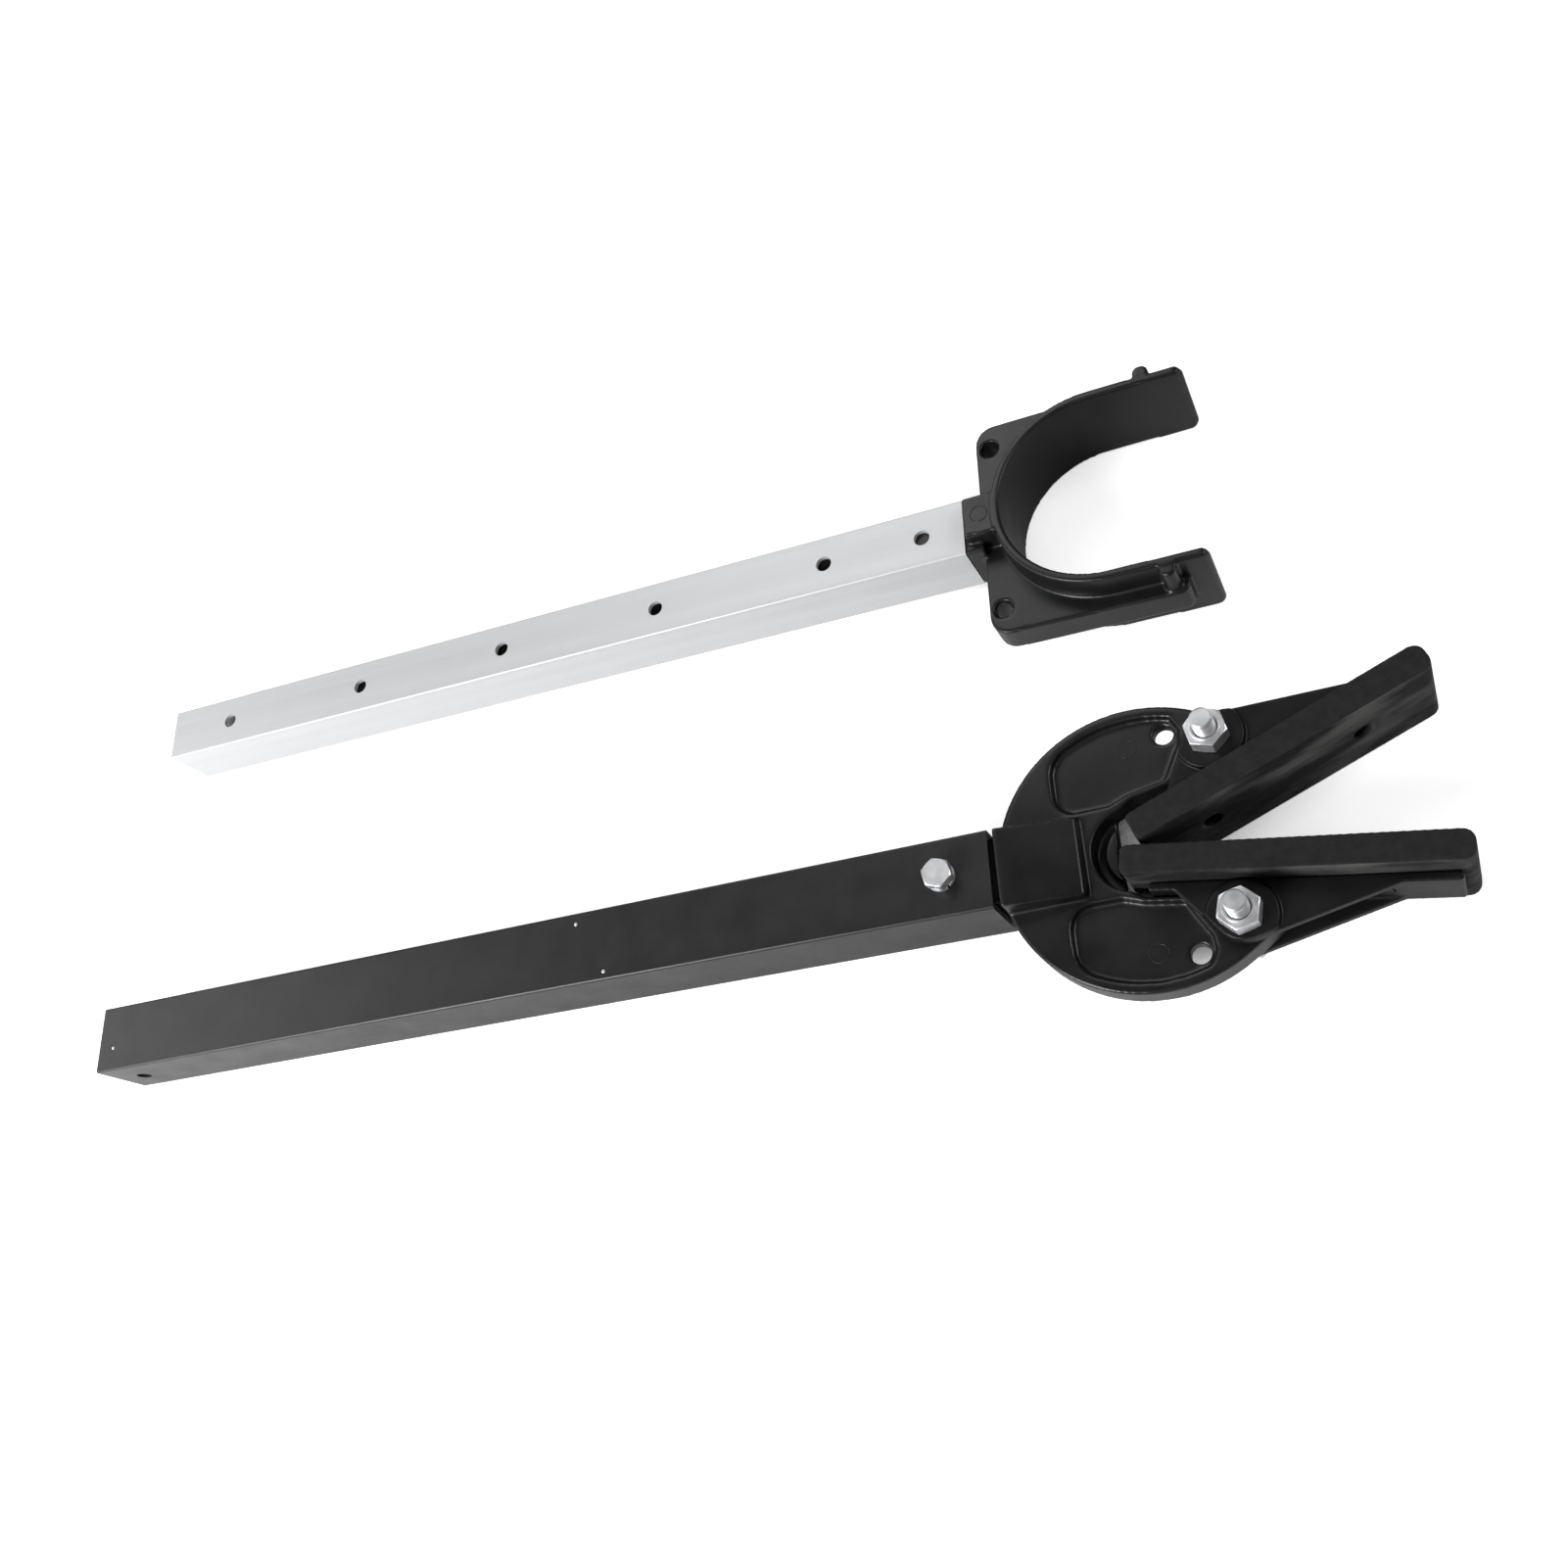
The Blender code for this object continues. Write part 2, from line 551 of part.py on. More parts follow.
def make_pivot(name, frame):
    """Bolt up through both cheeks, with a spacer sleeve in the casting, a washer and a nut."""
    cheek_inside = DISC_THICKNESS / 2 + CHEEK_GAP
    cheek_outside = cheek_inside + CHEEK_THICKNESS
    bore = circle(PIVOT_BOLT_RADIUS + BORE_GAP)

    sleeve_end = cheek_inside - SEAT_GAP
    sleeve = extrude_ring(f"{name}_pivot_sleeve", circle(SLEEVE_RADIUS), bore,
                          -sleeve_end, sleeve_end)
    shade_round(add_object(f"{name}_pivot_sleeve", sleeve, frame, "bright_zinc"))

    washer_top = -cheek_outside - SEAT_GAP
    washer_low = washer_top - WASHER_THICKNESS
    washer = extrude_ring(f"{name}_pivot_washer", circle(WASHER_RADIUS), bore,
                          washer_low, washer_top)
    shade_round(add_object(f"{name}_pivot_washer", washer, frame, "bright_zinc"))

    nut_seat = cheek_outside + LAND_HEIGHT + SEAT_GAP
    nut_top = nut_seat + PIVOT_NUT_HEIGHT
    nut = extrude_ring(f"{name}_pivot_nut", hexagon(PIVOT_FLATS), bore, nut_seat, nut_top)
    shade_round(add_object(f"{name}_pivot_nut", nut, frame, "bright_zinc"))

    head_top = washer_low - SEAT_GAP
    head = extrude(f"{name}_pivot_bolt", hexagon(PIVOT_FLATS), head_top - PIVOT_HEAD_HEIGHT, head_top)
    bolt = add_object(f"{name}_pivot_bolt", head, frame, "bright_zinc")
    start = head_top - SINK
    tip = nut_top + PIVOT_STUB
    grow(bolt, turn(f"grow_{name}_pivot_shank", [(0, start), (PIVOT_BOLT_RADIUS, start),
                                                 (PIVOT_BOLT_RADIUS, tip), (0, tip)]))
    shade_round(bolt)


def make_arm(name, side, head_frame):
    """One arm of the V on its pivot, at its rest angle."""
    frame = add_frame(f"{name}_arm_frame", head_frame, (PIVOT_X, side * PIVOT_Y, 0),
                      side * REST_ANGLE[name])
    make_bracket(name, side, frame)
    make_pad(name, side, frame)
    make_pad_screws(name, side, frame)
    make_pivot(name, frame)


# ---- Inner half ----

def make_inner_tube(half):
    """Square tube with its row of adjusting holes through top and bottom."""
    mesh = extrude_ring("inner_tube", square(INNER_WIDTH, INNER_CORNER),
                        square(INNER_WIDTH - 2 * INNER_WALL, INNER_CORNER / 2), 0, INNER_LENGTH, "X")
    tube = add_object("inner_tube", mesh, half, "mill_aluminium")
    for number in range(INNER_HOLE_COUNT):
        place = (INNER_FIRST_HOLE + number * INNER_HOLE_PITCH, 0)
        cut(tube, extrude(f"cut_adjusting_{number}", circle(PIN_HOLE_RADIUS, place),
                          -INNER_WIDTH, INNER_WIDTH))
    screw_x = INNER_LENGTH - YOKE_SCREW_FROM_END
    cut(tube, extrude("cut_last_hole", circle(PIN_HOLE_RADIUS, (screw_x, 0)), 0, INNER_WIDTH))
    cut(tube, extrude("cut_yoke_screw_hole", circle(YOKE_SCREW_RADIUS + BORE_GAP, (screw_x, 0)),
                      -INNER_WIDTH, 0))


def u_outline(radius, end_x):
    """A half-round bottom with straight sides, as an open line from +Y to -Y."""
    return [(end_x, radius)] + arc((0, 0), radius, 90, 270, ROUND_STEPS) + [(end_x, -radius)]


def flange_outline():
    """The flat wings and side ledges round the outside of the U."""
    back = rounded_box(FLANGE_BACK_X, FLANGE_FRONT_X, -FLANGE_HALF_WIDTH, FLANGE_HALF_WIDTH,
                       FLANGE_CORNER)
    quarter = CORNER_STEPS + 1
    left_corner = back[quarter:2 * quarter]
    right_corner = back[2 * quarter:3 * quarter]
    front = FLANGE_FRONT_CORNER
    centre = (FLANGE_FRONT_X - front, FLANGE_HALF_WIDTH - front)
    left_front = arc(centre, front, 0, 90, CORNER_STEPS)
    right_front = arc((centre[0], -centre[1]), front, 270, 360, CORNER_STEPS)
    mid_wall = YOKE_INNER_RADIUS + YOKE_WALL / 2
    inside = list(reversed(u_outline(mid_wall, FLANGE_FRONT_X)))
    return left_front + left_corner + right_corner + right_front + inside


def make_yoke(half):
    """Cast U with flat wings, two strap pegs, and a plug for the inner tube."""
    frame = add_frame("yoke_frame", half, (INNER_LENGTH + YOKE_CENTRE_FROM_TUBE, 0, 0))
    top = YOKE_HEIGHT / 2
    outside = u_outline(YOKE_INNER_RADIUS + YOKE_WALL, PRONG_LENGTH)
    inside = list(reversed(u_outline(YOKE_INNER_RADIUS, PRONG_LENGTH)))
    yoke = add_object("yoke_casting", extrude("yoke_casting", outside + inside, -top, top), frame,
                      "black_casting")
    grow(yoke, extrude("grow_flange", flange_outline(), -FLANGE_HEIGHT / 2, FLANGE_HEIGHT / 2))

    wall_x = -YOKE_INNER_RADIUS - YOKE_WALL / 2
    neck = rounded_box(NECK_BACK_X, wall_x, -NECK_HALF_WIDTH, NECK_HALF_WIDTH, INNER_CORNER)
    grow(yoke, extrude("grow_neck", neck, NECK_DROP - top, top - NECK_DROP))
    seat_x = SEAT_BACK_GAP - YOKE_CENTRE_FROM_TUBE
    grow(yoke, extrude("grow_seat", square(INNER_WIDTH, INNER_CORNER), seat_x,
                       FLANGE_BACK_X + SINK, "X"))
    plug_width = INNER_WIDTH - 2 * INNER_WALL - 2 * SLIDE_GAP
    plug_end = -YOKE_CENTRE_FROM_TUBE - YOKE_PLUG_LENGTH
    grow(yoke, extrude("grow_yoke_plug", square(plug_width, INNER_CORNER), plug_end,
                       seat_x + SINK, "X"))
    for name, side in SIDES.items():
        peg = circle(PEG_RADIUS, (PEG_X, side * PEG_Y))
        grow(yoke, extrude(f"grow_{name}_peg", peg, 0, top - PEG_DROP))
        hole = circle(WING_HOLE_RADIUS, (WING_HOLE[0], side * WING_HOLE[1]))
        cut(yoke, extrude(f"cut_{name}_wing_hole", hole, -FLANGE_HEIGHT, FLANGE_HEIGHT))
    screw = circle(YOKE_SCREW_RADIUS + BORE_GAP, (-YOKE_CENTRE_FROM_TUBE - YOKE_SCREW_FROM_END, 0))
    cut(yoke, extrude("cut_yoke_thread", screw, -INNER_WIDTH, SINK))


def make_yoke_screw(half):
    """Button-head screw and washer that hold the yoke from below."""
    frame = add_frame("yoke_screw_frame", half, (INNER_LENGTH - YOKE_SCREW_FROM_END, 0,
                                                 -INNER_WIDTH / 2 - SEAT_GAP))
    washer = extrude_ring("yoke_screw_washer", circle(YOKE_WASHER_RADIUS),
                          circle(YOKE_SCREW_RADIUS + BORE_GAP), -YOKE_WASHER_THICKNESS, 0)
    shade_round(add_object("yoke_screw_washer", washer, frame, "bright_zinc"))
    seat = -YOKE_WASHER_THICKNESS - SEAT_GAP
    low = seat - YOKE_SCREW_HEAD_HEIGHT
    tip = seat + YOKE_SCREW_LENGTH
    profile = [(0, low), (YOKE_SCREW_HEAD_RADIUS / 2, low),
               (YOKE_SCREW_HEAD_RADIUS, seat - YOKE_SCREW_RIM),
               (YOKE_SCREW_HEAD_RADIUS, seat), (YOKE_SCREW_RADIUS, seat), (YOKE_SCREW_RADIUS, tip),
               (0, tip)]
    shade_round(add_object("yoke_screw", turn("yoke_screw", profile), frame, "bright_zinc"))


# ---- Whole object ----

def remove_everything():
    """Empties the scene."""
    for thing in list(bpy.data.objects):
        bpy.data.objects.remove(thing, do_unlink=True)


def make_finishes():
    """One Principled material for each finish."""
    for name, (colour, roughness, metallic) in FINISHES.items():
        finish = bpy.data.materials.new(name)
        finish.use_nodes = True
        shader = finish.node_tree.nodes["Principled BSDF"]
        shader.inputs["Base Color"].default_value = (*colour, 1.0)
        shader.inputs["Roughness"].default_value = roughness
        shader.inputs["Metallic"].default_value = metallic


def centre_on_floor(whole):
    """Moves the model so that the middle of its box's underside is the origin."""
    bpy.context.view_layer.update()
    shapes = bpy.context.evaluated_depsgraph_get()
    corners = []
    for thing in bpy.data.objects:
        if thing.type == "MESH" and not thing.hide_render:
            shaped = thing.evaluated_get(shapes)
            corners += [thing.matrix_world @ vertex.co for vertex in shaped.data.vertices]
    low = Vector([min(corner[axis] for corner in corners) for axis in range(3)])
    high = Vector([max(corner[axis] for corner in corners) for axis in range(3)])
    middle = (low + high) / 2
    whole.matrix_world = Matrix.Translation(-Vector((middle.x, middle.y, low.z)))


def main():
    """Builds both halves."""
    remove_everything()
    make_finishes()
    whole = add_frame("whole", None, (0, 0, 0))
    outer_half = add_frame("outer_half", whole, (0, 0, OUTER_MID_Z))
    make_outer_tube(outer_half)
    head_frame = make_head(outer_half)
    make_tube_bolt(outer_half)
    for name, side in SIDES.items():
        make_arm(name, side, head_frame)
    inner_half = add_frame("inner_half", whole, (INNER_START_X, HALVES_SPACING, INNER_MID_Z),
                           INNER_SKEW)
    make_inner_tube(inner_half)
    make_yoke(inner_half)
    make_yoke_screw(inner_half)
    centre_on_floor(whole)


main()
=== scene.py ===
"""Studio scene of a telescoping motor support whose two halves lie side by side.

The castings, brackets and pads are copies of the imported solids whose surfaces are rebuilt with
moulded edge radii. The tubes, washers, sleeves and small screws are copies with eased edges. The
hexagon bolts, the nuts, the raised cast rings and the bare metal in the small holes are modelled
here. All sizes are in metres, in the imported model's frame.
"""

import json
import logging
import math
from collections.abc import Callable
from dataclasses import dataclass
from enum import Enum

import bpy
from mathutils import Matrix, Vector


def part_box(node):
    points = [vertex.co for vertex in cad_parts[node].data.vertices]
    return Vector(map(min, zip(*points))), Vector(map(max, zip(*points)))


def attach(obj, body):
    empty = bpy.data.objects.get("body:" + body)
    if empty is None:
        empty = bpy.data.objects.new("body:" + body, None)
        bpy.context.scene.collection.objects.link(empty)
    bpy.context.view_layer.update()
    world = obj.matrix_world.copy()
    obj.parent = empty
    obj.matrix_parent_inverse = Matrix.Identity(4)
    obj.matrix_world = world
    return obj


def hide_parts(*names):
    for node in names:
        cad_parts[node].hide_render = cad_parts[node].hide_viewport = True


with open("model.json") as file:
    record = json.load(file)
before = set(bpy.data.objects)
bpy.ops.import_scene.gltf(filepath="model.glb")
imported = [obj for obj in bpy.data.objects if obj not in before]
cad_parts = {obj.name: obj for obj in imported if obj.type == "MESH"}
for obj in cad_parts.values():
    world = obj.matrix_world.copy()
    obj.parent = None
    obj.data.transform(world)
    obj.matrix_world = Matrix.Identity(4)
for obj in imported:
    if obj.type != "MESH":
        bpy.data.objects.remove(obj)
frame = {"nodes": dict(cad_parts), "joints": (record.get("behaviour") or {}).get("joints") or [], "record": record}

LOG = logging.getLogger("support")
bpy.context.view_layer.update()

MERGE_DISTANCE = 0.000005
FLAT_ANGLE = 0.6
SHARP_ANGLE = 40.0
SMOOTH_ANGLE = 32.0
SAME_SIZE = 1e-6
EDGE_TOLERANCE = 0.0002
SEAT_CLEARANCE = 0.0003
CUT_OVERRUN = 0.001
HEX_FACE_SHARE = 0.985
HEX_CONE_SHARE = 1.02
HEX_CHAMFER_DROP = 0.62 * 1.15
CAST_RING_RADIUS = 0.0043
CAST_RING_BEAD = 0.00024
FLOOR_DROP = 0.0004
SENSOR_WIDTH = 36.0


class Body(Enum):
    """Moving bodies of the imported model."""

    OUTER = "outer_half"
    LEFT = "left_arm"
    RIGHT = "right_arm"
    INNER = "inner_half"


class Slot(Enum):
    """Material slots of the record."""

    POWDER = "black_powder_coat"
    CASTING = "black_casting"
    ALUMINIUM = "mill_aluminium"
    RUBBER = "black_rubber"
    ZINC = "bright_zinc"


class Side(Enum):
    """The two arms of the V."""

    LEFT = "left"
    RIGHT = "right"


class Cut(Enum):
    """Ways to combine two solids."""

    JOIN = "UNION"
    REMOVE = "DIFFERENCE"
    KEEP_SHARED = "INTERSECT"


# ---- Shader groups ----

def new_group(name: str, inputs: dict[str, tuple[str, object]],
              outputs: dict[str, str]) -> tuple[bpy.types.NodeTree, bpy.types.Node,
                                                bpy.types.Node]:
    """Starts a shader node group.

    Args:
        name: name of the group.
        inputs: socket name to its type and default value, or None.
        outputs: socket name to its type.

    Returns:
        The group's node tree, its input node and its output node.
    """
    tree = bpy.data.node_groups.new(name, "ShaderNodeTree")
    for socket_name, (kind, value) in inputs.items():
        socket = tree.interface.new_socket(socket_name, in_out="INPUT", socket_type=kind)
        if value is not None:
            socket.default_value = value
    for socket_name, kind in outputs.items():
        tree.interface.new_socket(socket_name, in_out="OUTPUT", socket_type=kind)
    entry = tree.nodes.new("NodeGroupInput")
    leave = tree.nodes.new("NodeGroupOutput")
    return tree, entry, leave


def maths(tree: bpy.types.NodeTree, operation: str, first: object, second: object,
          clamp: bool = False) -> bpy.types.NodeSocket:
    """Adds a Math node.

    Args:
        tree: the node tree.
        operation: the node's operation.
        first: first value, a number or a socket.
        second: second value, a number or a socket.
        clamp: whether the result is kept from 0 to 1.

    Returns:
        The result's socket.
    """
    node = tree.nodes.new("ShaderNodeMath")
    node.operation = operation
    node.use_clamp = clamp
    for socket, value in zip(node.inputs, (first, second)):
        if isinstance(value, bpy.types.NodeSocket):
            tree.links.new(value, socket)
        else:
            socket.default_value = value
    return node.outputs["Value"]


def make_surface_grain() -> bpy.types.NodeTree:
    """Fine and coarse noise in one height, for coats and castings.

    Returns:
        The node group, with Height and Cloud outputs.
    """
    tree, entry, leave = new_group(
        "surface_grain",
        {"Vector": ("NodeSocketVector", None), "Fine": ("NodeSocketFloat", 1800.0),
         "Coarse": ("NodeSocketFloat", 60.0), "Stretch": ("NodeSocketVector", (1.0, 1.0, 1.0))},
        {"Height": "NodeSocketFloat", "Cloud": "NodeSocketFloat"})
    stretched = tree.nodes.new("ShaderNodeVectorMath")
    stretched.operation = "MULTIPLY"
    tree.links.new(entry.outputs["Vector"], stretched.inputs[0])
    tree.links.new(entry.outputs["Stretch"], stretched.inputs[1])
    fine = tree.nodes.new("ShaderNodeTexNoise")
    fine.inputs["Detail"].default_value = 3.0
    coarse = tree.nodes.new("ShaderNodeTexNoise")
    coarse.inputs["Detail"].default_value = 4.0
    for noise, scale in ((fine, "Fine"), (coarse, "Coarse")):
        tree.links.new(stretched.outputs["Vector"], noise.inputs["Vector"])
        tree.links.new(entry.outputs[scale], noise.inputs["Scale"])
    tree.links.new(fine.outputs["Fac"], leave.inputs["Height"])
    tree.links.new(coarse.outputs["Fac"], leave.inputs["Cloud"])
    return tree


def make_edge_wear_and_highlight() -> bpy.types.NodeTree:
    """A mask that is high on outer edges and broken up by noise, for edge wear and a painted edge highlight.

    Returns:
        The node group, with one Mask output.
    """
    tree, entry, leave = new_group(
        "edge_wear_and_highlight",
        {"Vector": ("NodeSocketVector", None), "Gain": ("NodeSocketFloat", 6.0)},
        {"Mask": "NodeSocketFloat"})
    rounded = tree.nodes.new("ShaderNodeBevel")
    rounded.samples = 4
    rounded.inputs["Radius"].default_value = 0.0007
    here = tree.nodes.new("ShaderNodeNewGeometry")
    facing = tree.nodes.new("ShaderNodeVectorMath")
    facing.operation = "DOT_PRODUCT"
    tree.links.new(rounded.outputs["Normal"], facing.inputs[0])
    tree.links.new(here.outputs["Normal"], facing.inputs[1])
    away = maths(tree, "SUBTRACT", 1.0, facing.outputs["Value"])
    noise = tree.nodes.new("ShaderNodeTexNoise")
    noise.inputs["Scale"].default_value = 220.0
    noise.inputs["Detail"].default_value = 5.0
    tree.links.new(entry.outputs["Vector"], noise.inputs["Vector"])
    broken = maths(tree, "MULTIPLY", away, noise.outputs["Fac"])
    gained = maths(tree, "MULTIPLY", broken, entry.outputs["Gain"], clamp=True)
    tree.links.new(gained, leave.inputs["Mask"])
    return tree


def make_dust_film() -> bpy.types.NodeTree:
    """A thin uneven film on faces that look up.

    Returns:
        The node group, with one Mask output.
    """
    tree, entry, leave = new_group(
        "dust_film",
        {"Vector": ("NodeSocketVector", None), "Amount": ("NodeSocketFloat", 0.3)},
        {"Mask": "NodeSocketFloat"})
    here = tree.nodes.new("ShaderNodeNewGeometry")
    parts = tree.nodes.new("ShaderNodeSeparateXYZ")
    tree.links.new(here.outputs["Normal"], parts.inputs["Vector"])
    upward = tree.nodes.new("ShaderNodeMapRange")
    upward.inputs["From Min"].default_value = 0.2
    upward.inputs["From Max"].default_value = 1.0
    tree.links.new(parts.outputs["Z"], upward.inputs["Value"])
    noise = tree.nodes.new("ShaderNodeTexNoise")
    noise.inputs["Scale"].default_value = 34.0
    noise.inputs["Detail"].default_value = 7.0
    noise.inputs["Roughness"].default_value = 0.7
    tree.links.new(entry.outputs["Vector"], noise.inputs["Vector"])
    patches = tree.nodes.new("ShaderNodeMapRange")
    patches.inputs["From Min"].default_value = 0.35
    patches.inputs["From Max"].default_value = 0.75
    tree.links.new(noise.outputs["Fac"], patches.inputs["Value"])
    lying = maths(tree, "MULTIPLY", upward.outputs["Result"], patches.outputs["Result"])
    thinned = maths(tree, "MULTIPLY", lying, entry.outputs["Amount"])
    tree.links.new(thinned, leave.inputs["Mask"])
    return tree


@dataclass(frozen=True)
class Groups:
    """The shader groups that the finishes share."""

    grain: bpy.types.NodeTree
    wear_and_highlight: bpy.types.NodeTree
    dust: bpy.types.NodeTree


class MaterialNodes:
    """Nodes of one material, with short ways to add and join them."""

    def __init__(self, name: str) -> None:
        """Starts a material with its Principled shader."""
        self.material = bpy.data.materials.new(name)
        self.material.use_nodes = True
        self.tree = self.material.node_tree
        self.shader = self.tree.nodes["Principled BSDF"]
        self.place = self.tree.nodes.new("ShaderNodeTexCoord").outputs["Object"]

    def add(self, kind: str, **values: object) -> bpy.types.Node:
        """Adds a node.

        Args:
            kind: the node's type name.
            values: socket names, with _ for a space, to constant values.

        Returns:
            The node.
        """
        node = self.tree.nodes.new(kind)
        for key, value in values.items():
            node.inputs[key.replace("_", " ")].default_value = value
        return node

    def group(self, tree: bpy.types.NodeTree, place: bpy.types.NodeSocket | None = None,
              **values: object) -> bpy.types.Node:
        """Places a shader group.

        Args:
            tree: the group's node tree.
            place: the coordinates that it reads, or None for plain Object coordinates.
            values: socket names to constant values.

        Returns:
            The group node.
        """
        node = self.tree.nodes.new("ShaderNodeGroup")
        node.node_tree = tree
        for key, value in values.items():
            node.inputs[key].default_value = value
        self.join(self.place if place is None else place, node.inputs["Vector"])
        return node

    def join(self, source: bpy.types.NodeSocket, target: bpy.types.NodeSocket) -> None:
        """Links two sockets."""
        self.tree.links.new(source, target)

    def blend_colour(self, mask: bpy.types.NodeSocket, low: object,
                     high: object) -> bpy.types.NodeSocket:
        """Mixes two colours by a mask.

        Args:
            mask: the mask's socket.
            low: colour, or socket, where the mask is 0.
            high: colour, or socket, where the mask is 1.

        Returns:
            The mixed colour's socket.
        """
        mix = self.tree.nodes.new("ShaderNodeMix")
        mix.data_type = "RGBA"
        self.join(mask, mix.inputs["Factor"])
        for socket, value in ((mix.inputs[6], low), (mix.inputs[7], high)):
            if isinstance(value, bpy.types.NodeSocket):
                self.join(value, socket)
            else:
                socket.default_value = (*value, 1.0)
        return mix.outputs[2]

    def remap(self, source: bpy.types.NodeSocket, low: float, high: float,
              to_low: float = 0.0, to_high: float = 1.0) -> bpy.types.NodeSocket:
        """Stretches a value from one range to another.

        Args:
            source: the value's socket.
            low: value that becomes to_low.
            high: value that becomes to_high.
            to_low: lower end of the new range.
            to_high: upper end of the new range.

        Returns:
            The new value's socket.
        """
        node = self.add("ShaderNodeMapRange", From_Min=low, From_Max=high, To_Min=to_low,
                        To_Max=to_high)
        self.join(source, node.inputs["Value"])
        return node.outputs["Result"]

    def bump(self, height: bpy.types.NodeSocket, distance: float, strength: float,
             under: bpy.types.NodeSocket | None = None) -> bpy.types.NodeSocket:
        """Turns a height into a normal.

        Args:
            height: the height's socket.
            distance: height of a full step.
            strength: share of the effect.
            under: normal of a coarser bump below this one, or None.

        Returns:
            The normal's socket.
        """
        node = self.add("ShaderNodeBump", Distance=distance, Strength=strength)
        self.join(height, node.inputs["Height"])
        if under is not None:
            self.join(under, node.inputs["Normal"])
        return node.outputs["Normal"]


# ---- Finishes ----

@dataclass(frozen=True)
class SatinBlack:
    """Black coat with a fine orange-peel or cast grain, its edges lighter from a little wear and a painted edge
    highlight, and where asked a painted sheen lighter towards one end along X.
    """

    name: str
    colour: tuple[float, float, float]
    # Colour of the lighter edges: a little wear and a painted edge highlight.
    worn_and_highlight_colour: tuple[float, float, float]
    roughness: float
    grain_scale: float
    grain_depth: float
    dust: float
    shine: float = 0.42
    # Painted sheen along X: where it starts and where it is full, or None.
    painted_sheen_span: tuple[float, float] | None = None
    dust_colour: tuple[float, float, float] = (0.12, 0.12, 0.12)
    # Colour of the painted sheen.
    painted_sheen_colour: tuple[float, float, float] = (0.022, 0.021, 0.022)

    def build(self, groups: Groups) -> bpy.types.Material:
        """Makes the material.

        Args:
            groups: the shared shader groups.

        Returns:
            The material.
        """
        nodes = MaterialNodes(self.name)
        grain = nodes.group(groups.grain, Fine=self.grain_scale, Coarse=48.0)
        wear_and_highlight = nodes.group(groups.wear_and_highlight, Gain=3.2)
        dust = nodes.group(groups.dust, Amount=self.dust)
        cloud = nodes.remap(grain.outputs["Cloud"], 0.3, 0.7)
        lighter = tuple(value * 1.7 + 0.001 for value in self.colour)
        coat = nodes.blend_colour(cloud, self.colour, lighter)
        dusty = nodes.blend_colour(dust.outputs["Mask"], coat, self.dust_colour)
        # Painted sheen: the base colour turns lighter along X towards -X, the tube's open end.
        if self.painted_sheen_span is not None:
            sheen_starts_at, sheen_full_at = self.painted_sheen_span
            split = nodes.tree.nodes.new("ShaderNodeSeparateXYZ")
            nodes.join(nodes.place, split.inputs["Vector"])
            lengthwise = nodes.remap(split.outputs["X"], sheen_starts_at, sheen_full_at, 0.0, 1.0)
            dusty = nodes.blend_colour(lengthwise, dusty, self.painted_sheen_colour)
        # Edges lighter: part wear, part painted edge highlight.
        worn_and_highlight = nodes.blend_colour(wear_and_highlight.outputs["Mask"], dusty, self.worn_and_highlight_colour)
        nodes.join(worn_and_highlight, nodes.shader.inputs["Base Color"])
        rough = nodes.remap(grain.outputs["Cloud"], 0.25, 0.75, self.roughness - 0.05,
                            self.roughness + 0.07)
        nodes.join(rough, nodes.shader.inputs["Roughness"])
        normal = nodes.bump(grain.outputs["Height"], self.grain_depth, 0.6)
        nodes.join(normal, nodes.shader.inputs["Normal"])
        nodes.shader.inputs["Specular IOR Level"].default_value = self.shine
        return nodes.material


@dataclass(frozen=True)
class DrawnAluminium:
    """Bare extrusion with faint lines along its length and a few soft rub marks."""

    name: str
    along: tuple[float, float, float]

    def build(self, groups: Groups) -> bpy.types.Material:
        """Makes the material.

        Args:
            groups: the shared shader groups.

        Returns:
            The material.
        """
        nodes = MaterialNodes(self.name)
        turned = nodes.add("ShaderNodeMapping", Rotation=self.along)
        nodes.join(nodes.place, turned.inputs["Vector"])
        lines = nodes.group(groups.grain, turned.outputs["Vector"], Fine=900.0, Coarse=160.0,
                            Stretch=(0.012, 1.0, 1.0))
        mottle = nodes.group(groups.grain, Fine=420.0, Coarse=22.0)
        dust = nodes.group(groups.dust, Amount=0.10)
        streak = nodes.remap(lines.outputs["Cloud"], 0.3, 0.7)
        metal = nodes.blend_colour(streak, (0.50, 0.51, 0.515), (0.565, 0.57, 0.575))
        cloudy = nodes.blend_colour(nodes.remap(mottle.outputs["Cloud"], 0.35, 0.75), metal,
                                    (0.54, 0.545, 0.555))
        dusty = nodes.blend_colour(dust.outputs["Mask"], cloudy, (0.42, 0.425, 0.43))
        nodes.join(dusty, nodes.shader.inputs["Base Color"])
        nodes.shader.inputs["Metallic"].default_value = 0.30
        nodes.join(nodes.remap(lines.outputs["Height"], 0.25, 0.75, 0.40, 0.52),
                   nodes.shader.inputs["Roughness"])
        soft = nodes.bump(mottle.outputs["Height"], 0.00001, 0.3)
        nodes.join(nodes.bump(lines.outputs["Height"], 0.00001, 0.5, soft),
                   nodes.shader.inputs["Normal"])
        return nodes.material


